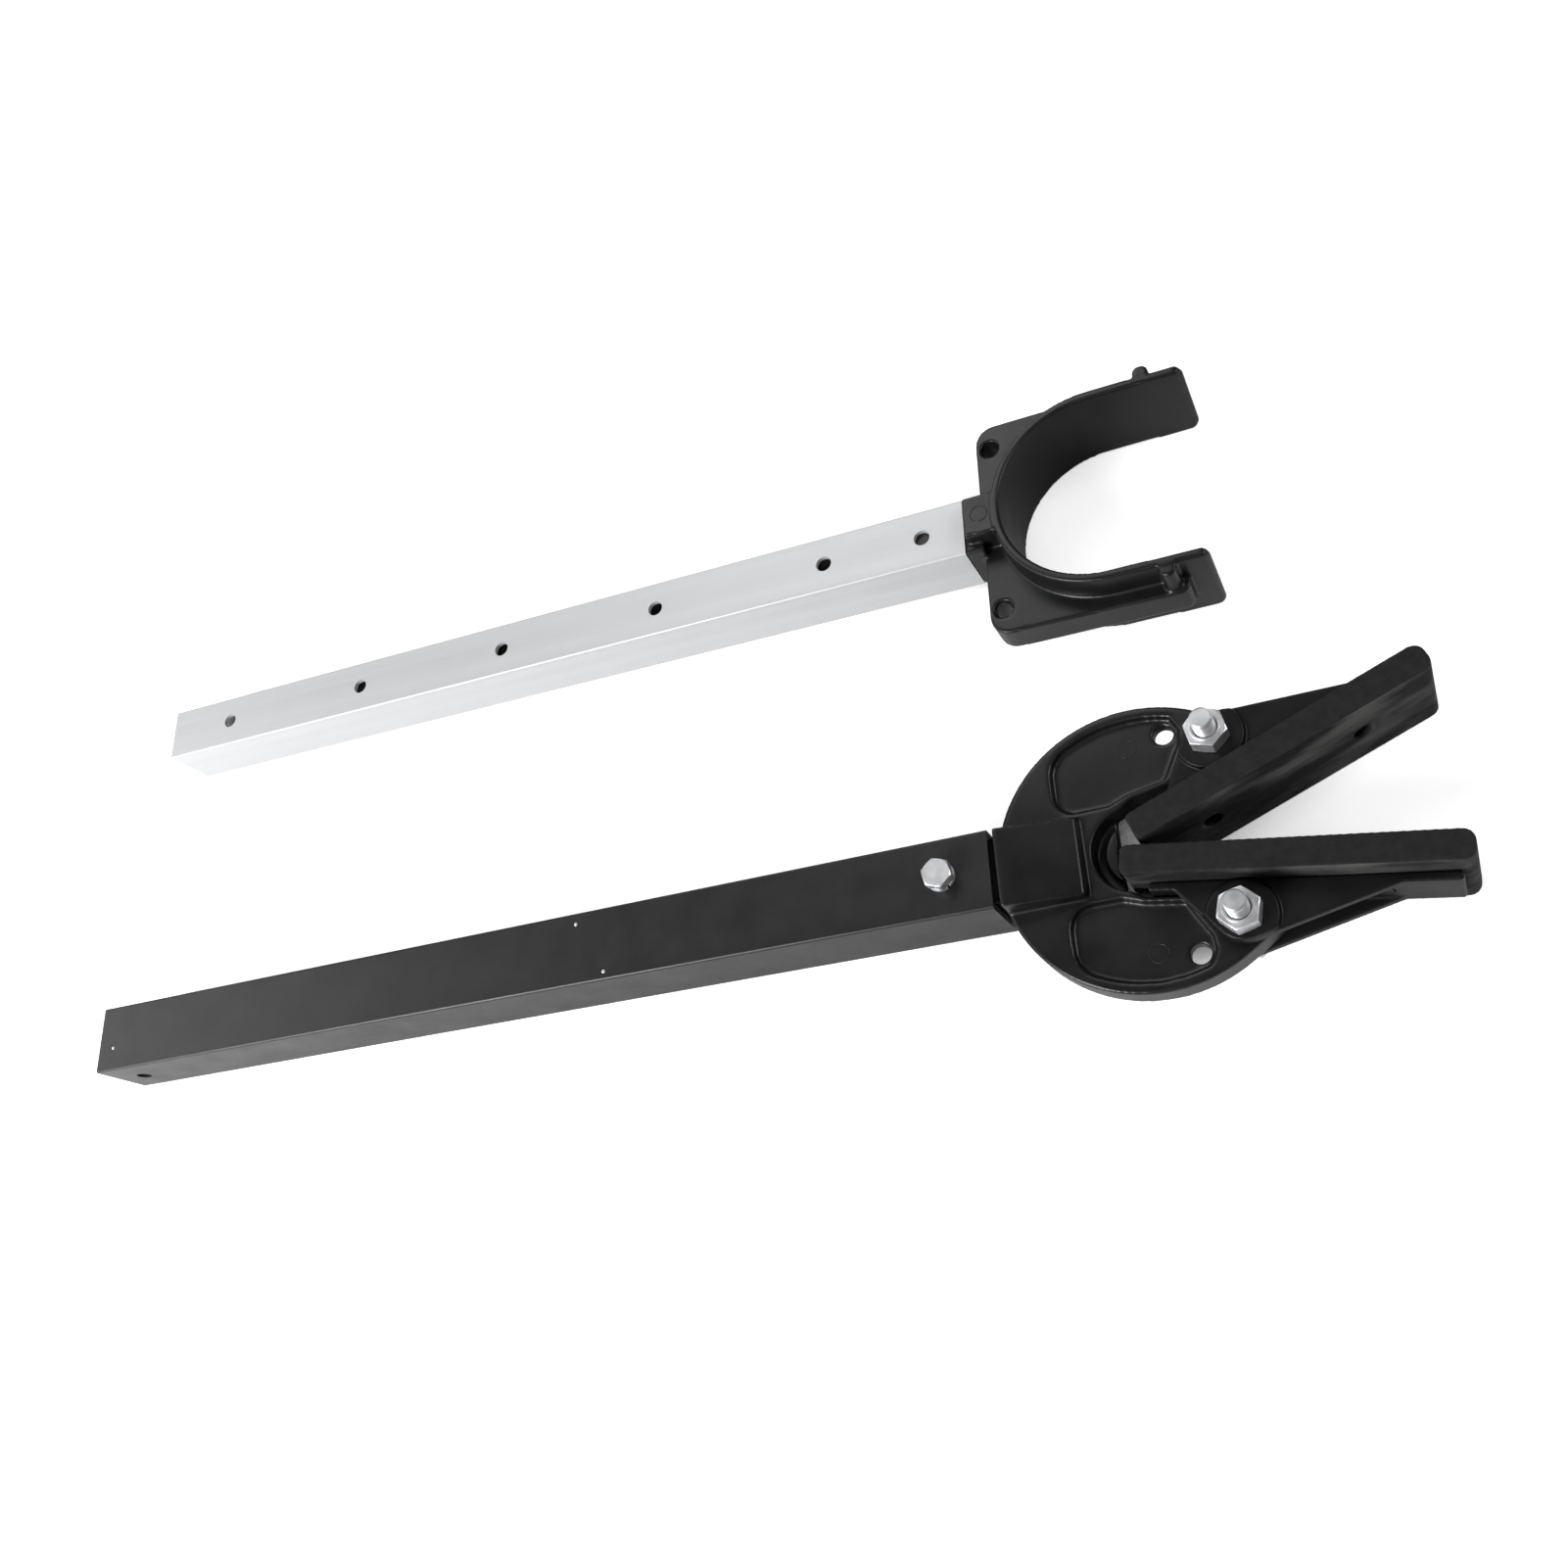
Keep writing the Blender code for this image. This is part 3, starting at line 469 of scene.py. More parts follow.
@dataclass(frozen=True)
class ChalkyRubber:
    """Dull black rubber with a grey bloom from rubbing along its length, and edges lighter from scuffs and a
    painted edge highlight.
    """

    name: str
    turn: float
    bloom: float

    def build(self, groups: Groups) -> bpy.types.Material:
        """Makes the material.

        Args:
            groups: the shared shader groups.

        Returns:
            The material.
        """
        nodes = MaterialNodes(self.name)
        turned = nodes.add("ShaderNodeMapping", Rotation=(0.0, 0.0, self.turn))
        nodes.join(nodes.place, turned.inputs["Vector"])
        lengthwise = nodes.group(groups.grain, turned.outputs["Vector"], Fine=500.0, Coarse=75.0,
                             Stretch=(0.30, 1.0, 1.0))
        skin = nodes.group(groups.grain, Fine=1500.0, Coarse=260.0)
        wear_and_highlight = nodes.group(groups.wear_and_highlight, Gain=2.0)
        here = nodes.tree.nodes.new("ShaderNodeNewGeometry")
        split = nodes.tree.nodes.new("ShaderNodeSeparateXYZ")
        nodes.join(here.outputs["Normal"], split.inputs["Vector"])
        upright = nodes.remap(split.outputs["Z"], 0.75, 0.35)
        patches = nodes.remap(lengthwise.outputs["Cloud"], 0.44, 0.72)
        bloom = maths(nodes.tree, "MULTIPLY", upright, patches)
        eased = maths(nodes.tree, "MULTIPLY", bloom, self.bloom)
        base = nodes.blend_colour(nodes.remap(skin.outputs["Cloud"], 0.3, 0.7),
                                  (0.0085, 0.0085, 0.009), (0.0145, 0.0145, 0.015))
        chalky = nodes.blend_colour(eased, base, (0.17, 0.17, 0.165))
        # Edges lighter: part scuffing, part painted edge highlight.
        scuffed_and_highlight = nodes.blend_colour(wear_and_highlight.outputs["Mask"], chalky, (0.09, 0.09, 0.088))
        nodes.join(scuffed_and_highlight, nodes.shader.inputs["Base Color"])
        nodes.join(nodes.remap(lengthwise.outputs["Height"], 0.2, 0.8, 0.66, 0.84),
                   nodes.shader.inputs["Roughness"])
        nodes.join(nodes.bump(skin.outputs["Height"], 0.00006, 0.5),
                   nodes.shader.inputs["Normal"])
        nodes.shader.inputs["Specular IOR Level"].default_value = 0.22
        return nodes.material


@dataclass(frozen=True)
class BrightZinc:
    """Plated steel, clean and bright, with light tool marks, and edges lighter from wear and a painted edge
    highlight.
    """

    name: str
    roughness: float

    def build(self, groups: Groups) -> bpy.types.Material:
        """Makes the material.

        Args:
            groups: the shared shader groups.

        Returns:
            The material.
        """
        nodes = MaterialNodes(self.name)
        grain = nodes.group(groups.grain, Fine=1600.0, Coarse=240.0)
        wear_and_highlight = nodes.group(groups.wear_and_highlight, Gain=2.5)
        plate = nodes.blend_colour(nodes.remap(grain.outputs["Cloud"], 0.3, 0.7),
                                   (0.66, 0.67, 0.69), (0.82, 0.82, 0.83))
        # Edges lighter: part wear, part painted edge highlight.
        nodes.join(nodes.blend_colour(wear_and_highlight.outputs["Mask"], plate, (0.9, 0.9, 0.9)),
                   nodes.shader.inputs["Base Color"])
        nodes.shader.inputs["Metallic"].default_value = 0.85
        nodes.join(nodes.remap(grain.outputs["Cloud"], 0.25, 0.75, self.roughness - 0.05,
                               self.roughness + 0.08), nodes.shader.inputs["Roughness"])
        nodes.join(nodes.bump(grain.outputs["Height"], 0.00001, 0.4),
                   nodes.shader.inputs["Normal"])
        return nodes.material


@dataclass(frozen=True)
class StudioPaper:
    """Pale seamless paper with a painted glow, visible to the camera alone, that whitens it and hides the shadows
    on it; the glow fades where something stands close above it, so the paper stays dark in deep gaps.
    """

    name: str
    tone: float
    glow: float

    def build(self, groups: Groups) -> bpy.types.Material:
        """Makes the material.

        Args:
            groups: the shared shader groups.

        Returns:
            The material.
        """
        nodes = MaterialNodes(self.name)
        grain = nodes.group(groups.grain, Fine=300.0, Coarse=3.0)
        paper = nodes.blend_colour(grain.outputs["Cloud"], (self.tone,) * 3,
                                   (self.tone + 0.02,) * 3)
        nodes.join(paper, nodes.shader.inputs["Base Color"])
        nodes.join(nodes.remap(grain.outputs["Height"], 0.2, 0.8, 0.85, 0.95),
                   nodes.shader.inputs["Roughness"])
        nodes.shader.inputs["Specular IOR Level"].default_value = 0.1
        # Painted glow: full on open paper, fading out in deep gaps, for camera rays only.
        nearby = nodes.add("ShaderNodeAmbientOcclusion", Distance=0.07)
        nearby.samples = 8
        painted_glow = nodes.remap(nearby.outputs["AO"], 0.14, 0.32, 0.0, self.glow)
        path = nodes.tree.nodes.new("ShaderNodeLightPath")
        painted_glow_for_camera = maths(nodes.tree, "MULTIPLY", painted_glow, path.outputs["Is Camera Ray"])
        nodes.shader.inputs["Emission Color"].default_value = (1.0, 1.0, 1.0, 1.0)
        nodes.join(painted_glow_for_camera, nodes.shader.inputs["Emission Strength"])
        return nodes.material


@dataclass(frozen=True)
class Palette:
    """One material for each finish."""

    powder: bpy.types.Material
    casting: bpy.types.Material
    aluminium: bpy.types.Material
    left_rubber: bpy.types.Material
    right_rubber: bpy.types.Material
    zinc: bpy.types.Material
    bracket: bpy.types.Material
    paper: bpy.types.Material


# ---- Modelling helpers ----

def clear_selection() -> None:
    """Deselects every object."""
    if bpy.context.mode != "OBJECT":
        bpy.ops.object.mode_set(mode="OBJECT")
    bpy.ops.object.select_all(action="DESELECT")


def pick(piece: bpy.types.Object) -> None:
    """Selects one object alone and makes it active."""
    clear_selection()
    piece.select_set(True)
    bpy.context.view_layer.objects.active = piece


def settle(piece: bpy.types.Object, name: str) -> bpy.types.Object:
    """Names a new object and applies its place, so that it sits at the origin.

    Args:
        piece: the object.
        name: its final name.

    Returns:
        The same object.
    """
    piece.name = name
    piece.data.name = name
    pick(piece)
    bpy.ops.object.transform_apply(location=True, rotation=True, scale=True)
    return piece


def apply_modifier(piece: bpy.types.Object, modifier: bpy.types.Modifier) -> None:
    """Applies one modifier."""
    pick(piece)
    bpy.ops.object.modifier_apply(modifier=modifier.name)


def even_shading(piece: bpy.types.Object, angle: float = SMOOTH_ANGLE) -> None:
    """Shades a piece smooth below an angle, with its wide faces kept flat.

    Args:
        piece: the object.
        angle: greatest smooth angle between faces, in degrees.
    """
    pick(piece)
    bpy.ops.object.shade_smooth_by_angle(angle=math.radians(angle))
    weighted = piece.modifiers.new("even_normals", "WEIGHTED_NORMAL")
    weighted.keep_sharp = True
    weighted.weight = 100
    apply_modifier(piece, weighted)


def round_edges(piece: bpy.types.Object, width: float, segments: int,
                angle: float = SHARP_ANGLE) -> None:
    """Bevels all edges sharper than an angle and shades the rest smooth.

    Args:
        piece: the object.
        width: width of the bevel.
        segments: steps across it.
        angle: least angle between faces, in degrees.
    """
    bevel = piece.modifiers.new("rounding", "BEVEL")
    bevel.width = width
    bevel.segments = segments
    bevel.limit_method = "ANGLE"
    bevel.angle_limit = math.radians(angle)
    bevel.miter_outer = "MITER_ARC"
    bevel.use_clamp_overlap = True
    apply_modifier(piece, bevel)
    even_shading(piece)


def merged_copy(node: str, name: str) -> bpy.types.Object:
    """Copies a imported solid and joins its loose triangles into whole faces.

    Args:
        node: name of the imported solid.
        name: name of the copy.

    Returns:
        The copy, at the origin.
    """
    clear_selection()
    mesh = frame["nodes"][node].data.copy()
    piece = bpy.data.objects.new(name, mesh)
    mesh.name = name
    mesh.materials.clear()
    bpy.context.scene.collection.objects.link(piece)
    pick(piece)
    bpy.ops.object.mode_set(mode="EDIT")
    bpy.ops.mesh.select_all(action="SELECT")
    bpy.ops.mesh.remove_doubles(threshold=MERGE_DISTANCE)
    bpy.ops.mesh.customdata_custom_splitnormals_clear()
    bpy.ops.mesh.select_all(action="SELECT")
    bpy.ops.mesh.dissolve_limited(angle_limit=math.radians(FLAT_ANGLE))
    bpy.ops.object.mode_set(mode="OBJECT")
    return piece


def eased_copy(node: str, name: str, width: float, segments: int = 2) -> bpy.types.Object:
    """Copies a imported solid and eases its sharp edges.

    Args:
        node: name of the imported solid.
        name: name of the copy.
        width: width of the eased edge.
        segments: steps across it.

    Returns:
        The copy, at the origin.
    """
    piece = merged_copy(node, name)
    round_edges(piece, width, segments)
    return piece


def cast_copy(node: str, name: str, grain: float, passes: int,
              shape: Callable[[bpy.types.Object], None] | None = None) -> bpy.types.Object:
    """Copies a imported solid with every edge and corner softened, as moulding leaves them.

    Args:
        node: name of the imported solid.
        name: name of the copy.
        grain: size of the even faces that the surface is rebuilt from.
        passes: smoothing passes; more give wider edge radii.
        shape: what is done to the sharp copy first, or None.

    Returns:
        The copy, at the origin.
    """
    piece = merged_copy(node, name)
    if shape is not None:
        shape(piece)
    rebuilt = piece.modifiers.new("rebuilt", "REMESH")
    rebuilt.mode = "VOXEL"
    rebuilt.voxel_size = grain
    rebuilt.use_smooth_shade = True
    apply_modifier(piece, rebuilt)
    softened = piece.modifiers.new("softened", "SMOOTH")
    softened.factor = 0.5
    softened.iterations = passes
    apply_modifier(piece, softened)
    return piece


def raised_ring(name: str, place: Vector) -> bpy.types.Object:
    """The thin round bead that an ejector pin leaves on a flat face, half sunk in it.

    Args:
        name: name of the object.
        place: its centre.

    Returns:
        The ring, at the origin.
    """
    clear_selection()
    bpy.ops.mesh.primitive_torus_add(location=place, major_radius=CAST_RING_RADIUS,
                                     minor_radius=CAST_RING_BEAD, major_segments=40,
                                     minor_segments=8)
    ring = settle(bpy.context.object, name)
    bpy.ops.object.shade_smooth()
    return ring


def combine(piece: bpy.types.Object, tool: bpy.types.Object, cut: Cut) -> None:
    """Combines a piece with another, which is used up.

    Args:
        piece: the object that stays.
        tool: the object that is used up.
        cut: how they are combined.
    """
    boolean = piece.modifiers.new(tool.name, "BOOLEAN")
    boolean.operation = cut.value
    boolean.solver = "EXACT"
    boolean.object = tool
    apply_modifier(piece, boolean)
    bpy.data.objects.remove(tool, do_unlink=True)


def turned(name: str, centre: Vector, profile: list[tuple[float, float]], steps: int,
           angle: float = 0.0) -> bpy.types.Object:
    """Draws a round solid upwards, ring by ring, from its lowest face.

    Args:
        name: name of the object.
        centre: the foot of its upright axis.
        profile: radius and height of each ring, from the lowest to the last.
        steps: corners of each ring.
        angle: turn of the first corner about the axis, in degrees.

    Returns:
        The closed solid, at the origin.
    """
    clear_selection()
    radius, height = profile[0]
    bpy.ops.mesh.primitive_circle_add(
        vertices=steps, radius=radius, fill_type="NGON",
        location=(centre.x, centre.y, centre.z + height), rotation=(0, 0, math.radians(angle)))
    piece = bpy.context.object
    bpy.ops.object.mode_set(mode="EDIT")
    bpy.ops.mesh.select_all(action="SELECT")
    for wide, tall in profile[1:]:
        rise = {"value": (0, 0, tall - height)}
        bpy.ops.mesh.extrude_region_move(TRANSFORM_OT_translate=rise)
        factor = wide / radius
        if abs(factor - 1.0) > SAME_SIZE:
            bpy.ops.transform.resize(value=(factor, factor, 1.0),
                                     center_override=(centre.x, centre.y, centre.z + tall))
        radius, height = wide, tall
    bpy.ops.mesh.select_all(action="DESELECT")
    bpy.ops.mesh.select_mode(type="EDGE")
    bpy.ops.mesh.select_non_manifold(extend=False)
    bpy.ops.mesh.edge_face_add()
    bpy.ops.mesh.select_mode(type="VERT")
    bpy.ops.mesh.select_all(action="SELECT")
    bpy.ops.mesh.normals_make_consistent(inside=False)
    bpy.ops.object.mode_set(mode="OBJECT")
    return settle(piece, name)


def hex_block(name: str, centre: Vector, flats: float, low: float, high: float, angle: float,
              chamfers: tuple[bool, bool]) -> bpy.types.Object:
    """A hexagon whose corners are turned off where asked.

    Args:
        name: name of the object.
        centre: the foot of its axis.
        flats: width across its flats.
        low: lower face, from the foot.
        high: upper face, from the foot.
        angle: turn of a corner about the axis, in degrees.
        chamfers: whether the lower and the upper corners are turned off.

    Returns:
        The closed solid, at the origin.
    """
    corner = flats / math.sqrt(3)
    block = turned(name, centre, [(corner, low), (corner, high)], 6, angle)
    face_radius = flats / 2 * HEX_FACE_SHARE
    wide_radius = corner * HEX_CONE_SHARE
    drop = (corner - flats / 2) * HEX_CHAMFER_DROP
    lower, upper = chamfers
    profile = [(wide_radius, low - CUT_OVERRUN)]
    if lower:
        profile = [(face_radius, low), (wide_radius, low + drop)]
    if upper:
        profile += [(wide_radius, high - drop), (face_radius, high)]
    else:
        profile += [(wide_radius, high + CUT_OVERRUN)]
    combine(block, turned(f"{name}_cone", centre, profile, 64), Cut.KEEP_SHARED)
    return block


def dress(piece: bpy.types.Object, material: bpy.types.Material, slot: Slot, body: Body,
          *nodes: str) -> bpy.types.Object:
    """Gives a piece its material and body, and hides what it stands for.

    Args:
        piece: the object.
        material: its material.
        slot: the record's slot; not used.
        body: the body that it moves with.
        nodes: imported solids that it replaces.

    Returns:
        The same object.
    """
    piece.data.materials.clear()
    piece.data.materials.append(material)
    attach(piece, body.value)
    if nodes:
        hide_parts(*nodes)
    LOG.info("%s on %s, %d faces", piece.name, body.value, len(piece.data.polygons))
    return piece


def middle(node: str) -> Vector:
    """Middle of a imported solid's box."""
    low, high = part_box(node)
    return (low + high) / 2


def axis_foot(node: str) -> Vector:
    """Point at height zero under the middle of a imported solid."""
    centre = middle(node)
    return Vector((centre.x, centre.y, 0.0))


def named(rows: list[dict], name: str) -> dict:
    """Finds a joint or a mount by its name.

    Args:
        rows: the joints or the mounts.
        name: the wanted name.

    Returns:
        The row with that name.
    """
    return next(row for row in rows if row["name"] == name)


# ---- Sub-assemblies ----

@dataclass
class OuterTube:
    """Black square tube with its bolt."""

    palette: Palette
    edge: float = 0.00035
    bolt_flats: float = 0.013
    bolt_radius: float = 0.004
    bolt_angle: float = 12.0
    washer_edge: float = 0.0002
    small_holes: tuple[tuple[float, float], ...] = ((0.010, -0.0056), (0.3215, 0.0131),
                                                    (0.338, -0.0145))
    burr_rings: tuple[tuple[float, float], ...] = ((0.0012, -0.0016), (0.0012, -0.0006),
                                                   (0.0009, -0.0002), (0.0004, -0.00005))

    def build(self) -> None:
        """Builds the tube, the bolt, its spring washer and the bare metal in the holes."""
        self.build_tube()
        self.build_bolt()
        self.build_washer()
        self.build_burrs()

    def build_burrs(self) -> None:
        """Bare metal that shows bright in the three small holes of the top wall."""
        low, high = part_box("outer_tube")
        for number, (ahead, aside) in enumerate(self.small_holes):
            foot = Vector((low.x + ahead, (low.y + high.y) / 2 + aside, high.z))
            burr = turned(f"hole_burr_{number}", foot, list(self.burr_rings), 24)
            even_shading(burr, 60.0)
            dress(burr, self.palette.aluminium, Slot.ALUMINIUM, Body.OUTER)

    def build_tube(self) -> None:
        """The tube, with its cut ends and holes eased."""
        tube = eased_copy("outer_tube", "outer_tube_coated", self.edge)
        dress(tube, self.palette.powder, Slot.POWDER, Body.OUTER, "outer_tube")

    def build_bolt(self) -> None:
        """Hex head, turned off at its top, on a threaded shank."""
        low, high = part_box("tube_bolt")
        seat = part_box("tube_bolt_washer")[1].z + SEAT_CLEARANCE
        foot = axis_foot("tube_bolt")
        head = hex_block("tube_bolt_head", foot, self.bolt_flats, seat, high.z, self.bolt_angle,
                         (False, True))
        shank = turned("tube_bolt_shank", foot, [(self.bolt_radius, low.z),
                                                 (self.bolt_radius, seat + CUT_OVERRUN)], 32)
        combine(head, shank, Cut.JOIN)
        round_edges(head, 0.00022, 3, 28)
        dress(head, self.palette.zinc, Slot.ZINC, Body.OUTER, "tube_bolt")

    def build_washer(self) -> None:
        """The split spring washer, with its corners eased."""
        washer = eased_copy("tube_bolt_washer", "tube_bolt_spring_washer", self.washer_edge)
        dress(washer, self.palette.zinc, Slot.ZINC, Body.OUTER, "tube_bolt_washer")


@dataclass
class DiscHead:
    """Cast disc with its boss, pockets and marks."""

    palette: Palette
    grain: float = 0.00078
    passes: int = 9
    pivot_ahead: float = 0.037
    pocket_floor: float = 0.0035
    marks: tuple[tuple[float, float], ...] = ((-0.0010, 0.0490), (-0.0010, -0.0490))

    def axes(self) -> tuple[Vector, Vector, Vector]:
        """Centre, forward and left directions of the disc.

        Returns:
            The centre and the two unit vectors.
        """
        left = Vector(named(frame["joints"], "left_arm_swing")["pos_m"])
        right = Vector(named(frame["joints"], "right_arm_swing")["pos_m"])
        leftward = (left - right).normalized()
        forward = Vector((leftward.y, -leftward.x, 0.0))
        return (left + right) / 2 - forward * self.pivot_ahead, forward, leftward

    def build(self) -> None:
        """Builds the casting and its raised ejector rings."""
        casting = cast_copy("head_casting", "disc_head_cast", self.grain, self.passes)
        dress(casting, self.palette.casting, Slot.CASTING, Body.OUTER, "head_casting")
        self.build_marks()

    def build_marks(self) -> None:
        """Thin rings that the ejector pins leave on the pocket floors."""
        centre, forward, leftward = self.axes()
        for number, (ahead, aside) in enumerate(self.marks):
            place = centre + forward * ahead + leftward * aside
            place.z += self.pocket_floor
            ring = raised_ring(f"ejector_ring_{number}", place)
            dress(ring, self.palette.casting, Slot.CASTING, Body.OUTER)


@dataclass
class Arm:
    """One padded arm of the V with its pivot bolt."""

    palette: Palette
    side: Side
    body: Body
    rubber: bpy.types.Material
    nut_angle: float
    grain: float = 0.0006
    bracket_passes: int = 5
    pad_passes: int = 9
    nut_flats: float = 0.017
    bolt_radius: float = 0.005
    collar_share: float = 0.40
    collar_top_share: float = 0.385
    collar_rise: float = 0.0006
    hole_gap: float = 0.0003
    mouth_gap: float = 0.0009
    head_turn: float = 20.0
    pitch: float = 0.0015
    thread_root: float = 0.90
    thread_turns: int = 8
    thread_shape: tuple[float, float, float] = (0.30, 0.45, 0.85)
    point: float = 0.0008
    small_edge: float = 0.00025
    screw_edge: float = 0.0005

    def part_name(self, part: str) -> str:
        """Name of a part of this side."""
        return f"{self.side.value}_{part}"

    def build(self) -> None:
        """Builds the bracket, the pad, its screws and the pivot fasteners."""
        bracket = cast_copy(self.part_name("arm_bracket"), self.part_name("bracket_coated"),
                            self.grain, self.bracket_passes)
        dress(bracket, self.palette.bracket, Slot.POWDER, self.body, self.part_name("arm_bracket"))
        pad = cast_copy(self.part_name("pad"), self.part_name("rubber_pad"), self.grain,
                        self.pad_passes)
        dress(pad, self.rubber, Slot.RUBBER, self.body, self.part_name("pad"))
        for place in ("inner", "outer"):
            node = self.part_name(f"pad_screw_{place}")
            screw = eased_copy(node, self.part_name(f"pan_screw_{place}"), self.screw_edge, 3)
            dress(screw, self.palette.bracket, Slot.POWDER, self.body, node)
        self.build_nut()
        self.build_bolt()
        self.build_small_parts()

    def build_nut(self) -> None:
        """Hexagon nut with turned corners and a countersunk mouth."""
        node = self.part_name("pivot_nut")
        low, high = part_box(node)
        foot = axis_foot(node)
        nut = hex_block(self.part_name("hex_nut"), foot, self.nut_flats, low.z,
                        high.z - self.collar_rise, self.nut_angle, (True, True))
        collar_radius = self.nut_flats * self.collar_share
        collar = turned(self.part_name("nut_collar"), foot,
                        [(collar_radius, high.z - 0.002), (collar_radius, high.z - 0.0004),
                         (self.nut_flats * self.collar_top_share, high.z)], 48)
        combine(nut, collar, Cut.JOIN)
        hole_radius = self.bolt_radius + self.hole_gap
        mouth_radius = self.bolt_radius + self.mouth_gap
        mouth = turned(self.part_name("nut_hole"), foot,
                       [(hole_radius, low.z - CUT_OVERRUN), (hole_radius, high.z - 0.0011),
                        (mouth_radius, high.z - 0.0005), (mouth_radius, high.z + CUT_OVERRUN)],
                       48)
        combine(nut, mouth, Cut.REMOVE)
        round_edges(nut, 0.00022, 2, 30)
        dress(nut, self.palette.zinc, Slot.ZINC, Body.OUTER, node)

    def build_bolt(self) -> None:
        """Hex head below, plain shank, and a threaded end above the nut."""
        node = self.part_name("pivot_bolt")
        low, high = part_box(node)
        washer_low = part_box(self.part_name("pivot_washer"))[0].z
        foot = axis_foot(node)
        head_top = washer_low - SEAT_CLEARANCE
        head = hex_block(self.part_name("hex_bolt"), foot, self.nut_flats, low.z, head_top,
                         self.nut_angle + self.head_turn, (True, False))
        crest = self.bolt_radius
        root = crest * self.thread_root
        thread_low = high.z - (self.thread_turns + 1) * self.pitch
        root_start, root_stop, crest_start = self.thread_shape
        profile = [(crest, head_top - CUT_OVERRUN), (crest, thread_low)]
        for turn_number in range(self.thread_turns):
            start = thread_low + turn_number * self.pitch
            profile += [(root, start + root_start * self.pitch),
                        (root, start + root_stop * self.pitch),
                        (crest, start + crest_start * self.pitch), (crest, start + self.pitch)]
        profile += [(crest, high.z - self.point), (crest - self.point, high.z)]
        combine(head, turned(self.part_name("bolt_shank"), foot, profile, 48), Cut.JOIN)
        even_shading(head, 28.0)
        dress(head, self.palette.zinc, Slot.ZINC, Body.OUTER, node)

    def build_small_parts(self) -> None:
        """Washer and spacer sleeve, with eased edges."""
        for part in ("pivot_washer", "pivot_sleeve"):
            node = self.part_name(part)
            piece = eased_copy(node, f"{node}_plated", self.small_edge)
            dress(piece, self.palette.zinc, Slot.ZINC, Body.OUTER, node)


@dataclass
class InnerHalf:
    """Bare square tube with the cast U yoke."""

    palette: Palette
    grain: float = 0.00075
    passes: int = 5
    tip_radius: float = 0.0038
    tube_edge: float = 0.0003
    screw_edge: float = 0.00025
    mark_behind: float = 0.0596
    neck_drop: float = 0.0005

    def build(self) -> None:
        """Builds the tube, the yoke and its screw."""
        tube = eased_copy("inner_tube", "inner_tube_drawn", self.tube_edge)
        dress(tube, self.palette.aluminium, Slot.ALUMINIUM, Body.INNER, "inner_tube")
        yoke = cast_copy("yoke_casting", "u_yoke_cast", self.grain, self.passes,
                         self.round_prong_tips)
        dress(yoke, self.palette.casting, Slot.CASTING, Body.INNER, "yoke_casting")
        for node, name in (("yoke_screw", "yoke_button_screw"),
                           ("yoke_screw_washer", "yoke_flat_washer")):
            piece = eased_copy(node, name, self.screw_edge)
            dress(piece, self.palette.zinc, Slot.ZINC, Body.INNER, node)
        self.build_mark()

    def axes(self) -> tuple[Vector, Vector]:
        """Centre of the U and the direction that its mouth faces.

        Returns:
            The centre and the unit vector.
        """
        centre = Vector(named(frame["record"]["mounts"], "yoke_cradle")["pos_m"])
        return centre, Vector(named(frame["joints"], "length_adjust")["axis"])

    def round_prong_tips(self, yoke: bpy.types.Object) -> None:
        """Rounds the upper and lower corners of both prong ends.

        Args:
            yoke: the copy of the casting, before its surface is rebuilt.
        """
        centre, forward = self.axes()
        low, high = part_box("yoke_casting")
        middle_height = (low.z + high.z) / 2
        half = (high.z - low.z) / 2
        mesh = yoke.data
        reach = max((vertex.co - centre).dot(forward) for vertex in mesh.vertices)
        pick(yoke)
        bpy.ops.object.mode_set(mode="EDIT")
        bpy.ops.mesh.select_mode(type="EDGE")
        bpy.ops.mesh.select_all(action="DESELECT")
        bpy.ops.object.mode_set(mode="OBJECT")
        for edge in mesh.edges:
            ends = [mesh.vertices[index].co for index in edge.vertices]
            at_tip = all((end - centre).dot(forward) > reach - EDGE_TOLERANCE for end in ends)
            at_rim = all(abs(abs(end.z - middle_height) - half) < EDGE_TOLERANCE
                         for end in ends)
            edge.select = at_tip and at_rim
        bpy.ops.object.mode_set(mode="EDIT")
        bpy.ops.mesh.bevel(offset=self.tip_radius, segments=5, affect="EDGES")
        bpy.ops.mesh.select_mode(type="VERT")
        bpy.ops.object.mode_set(mode="OBJECT")

    def build_mark(self) -> None:
        """The ring that an ejector pin leaves on the yoke's neck."""
        centre, forward = self.axes()
        place = centre - forward * self.mark_behind
        place.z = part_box("yoke_casting")[1].z - self.neck_drop
        ring = raised_ring("neck_ring", place)
        dress(ring, self.palette.casting, Slot.CASTING, Body.INNER)


# ---- Studio ----

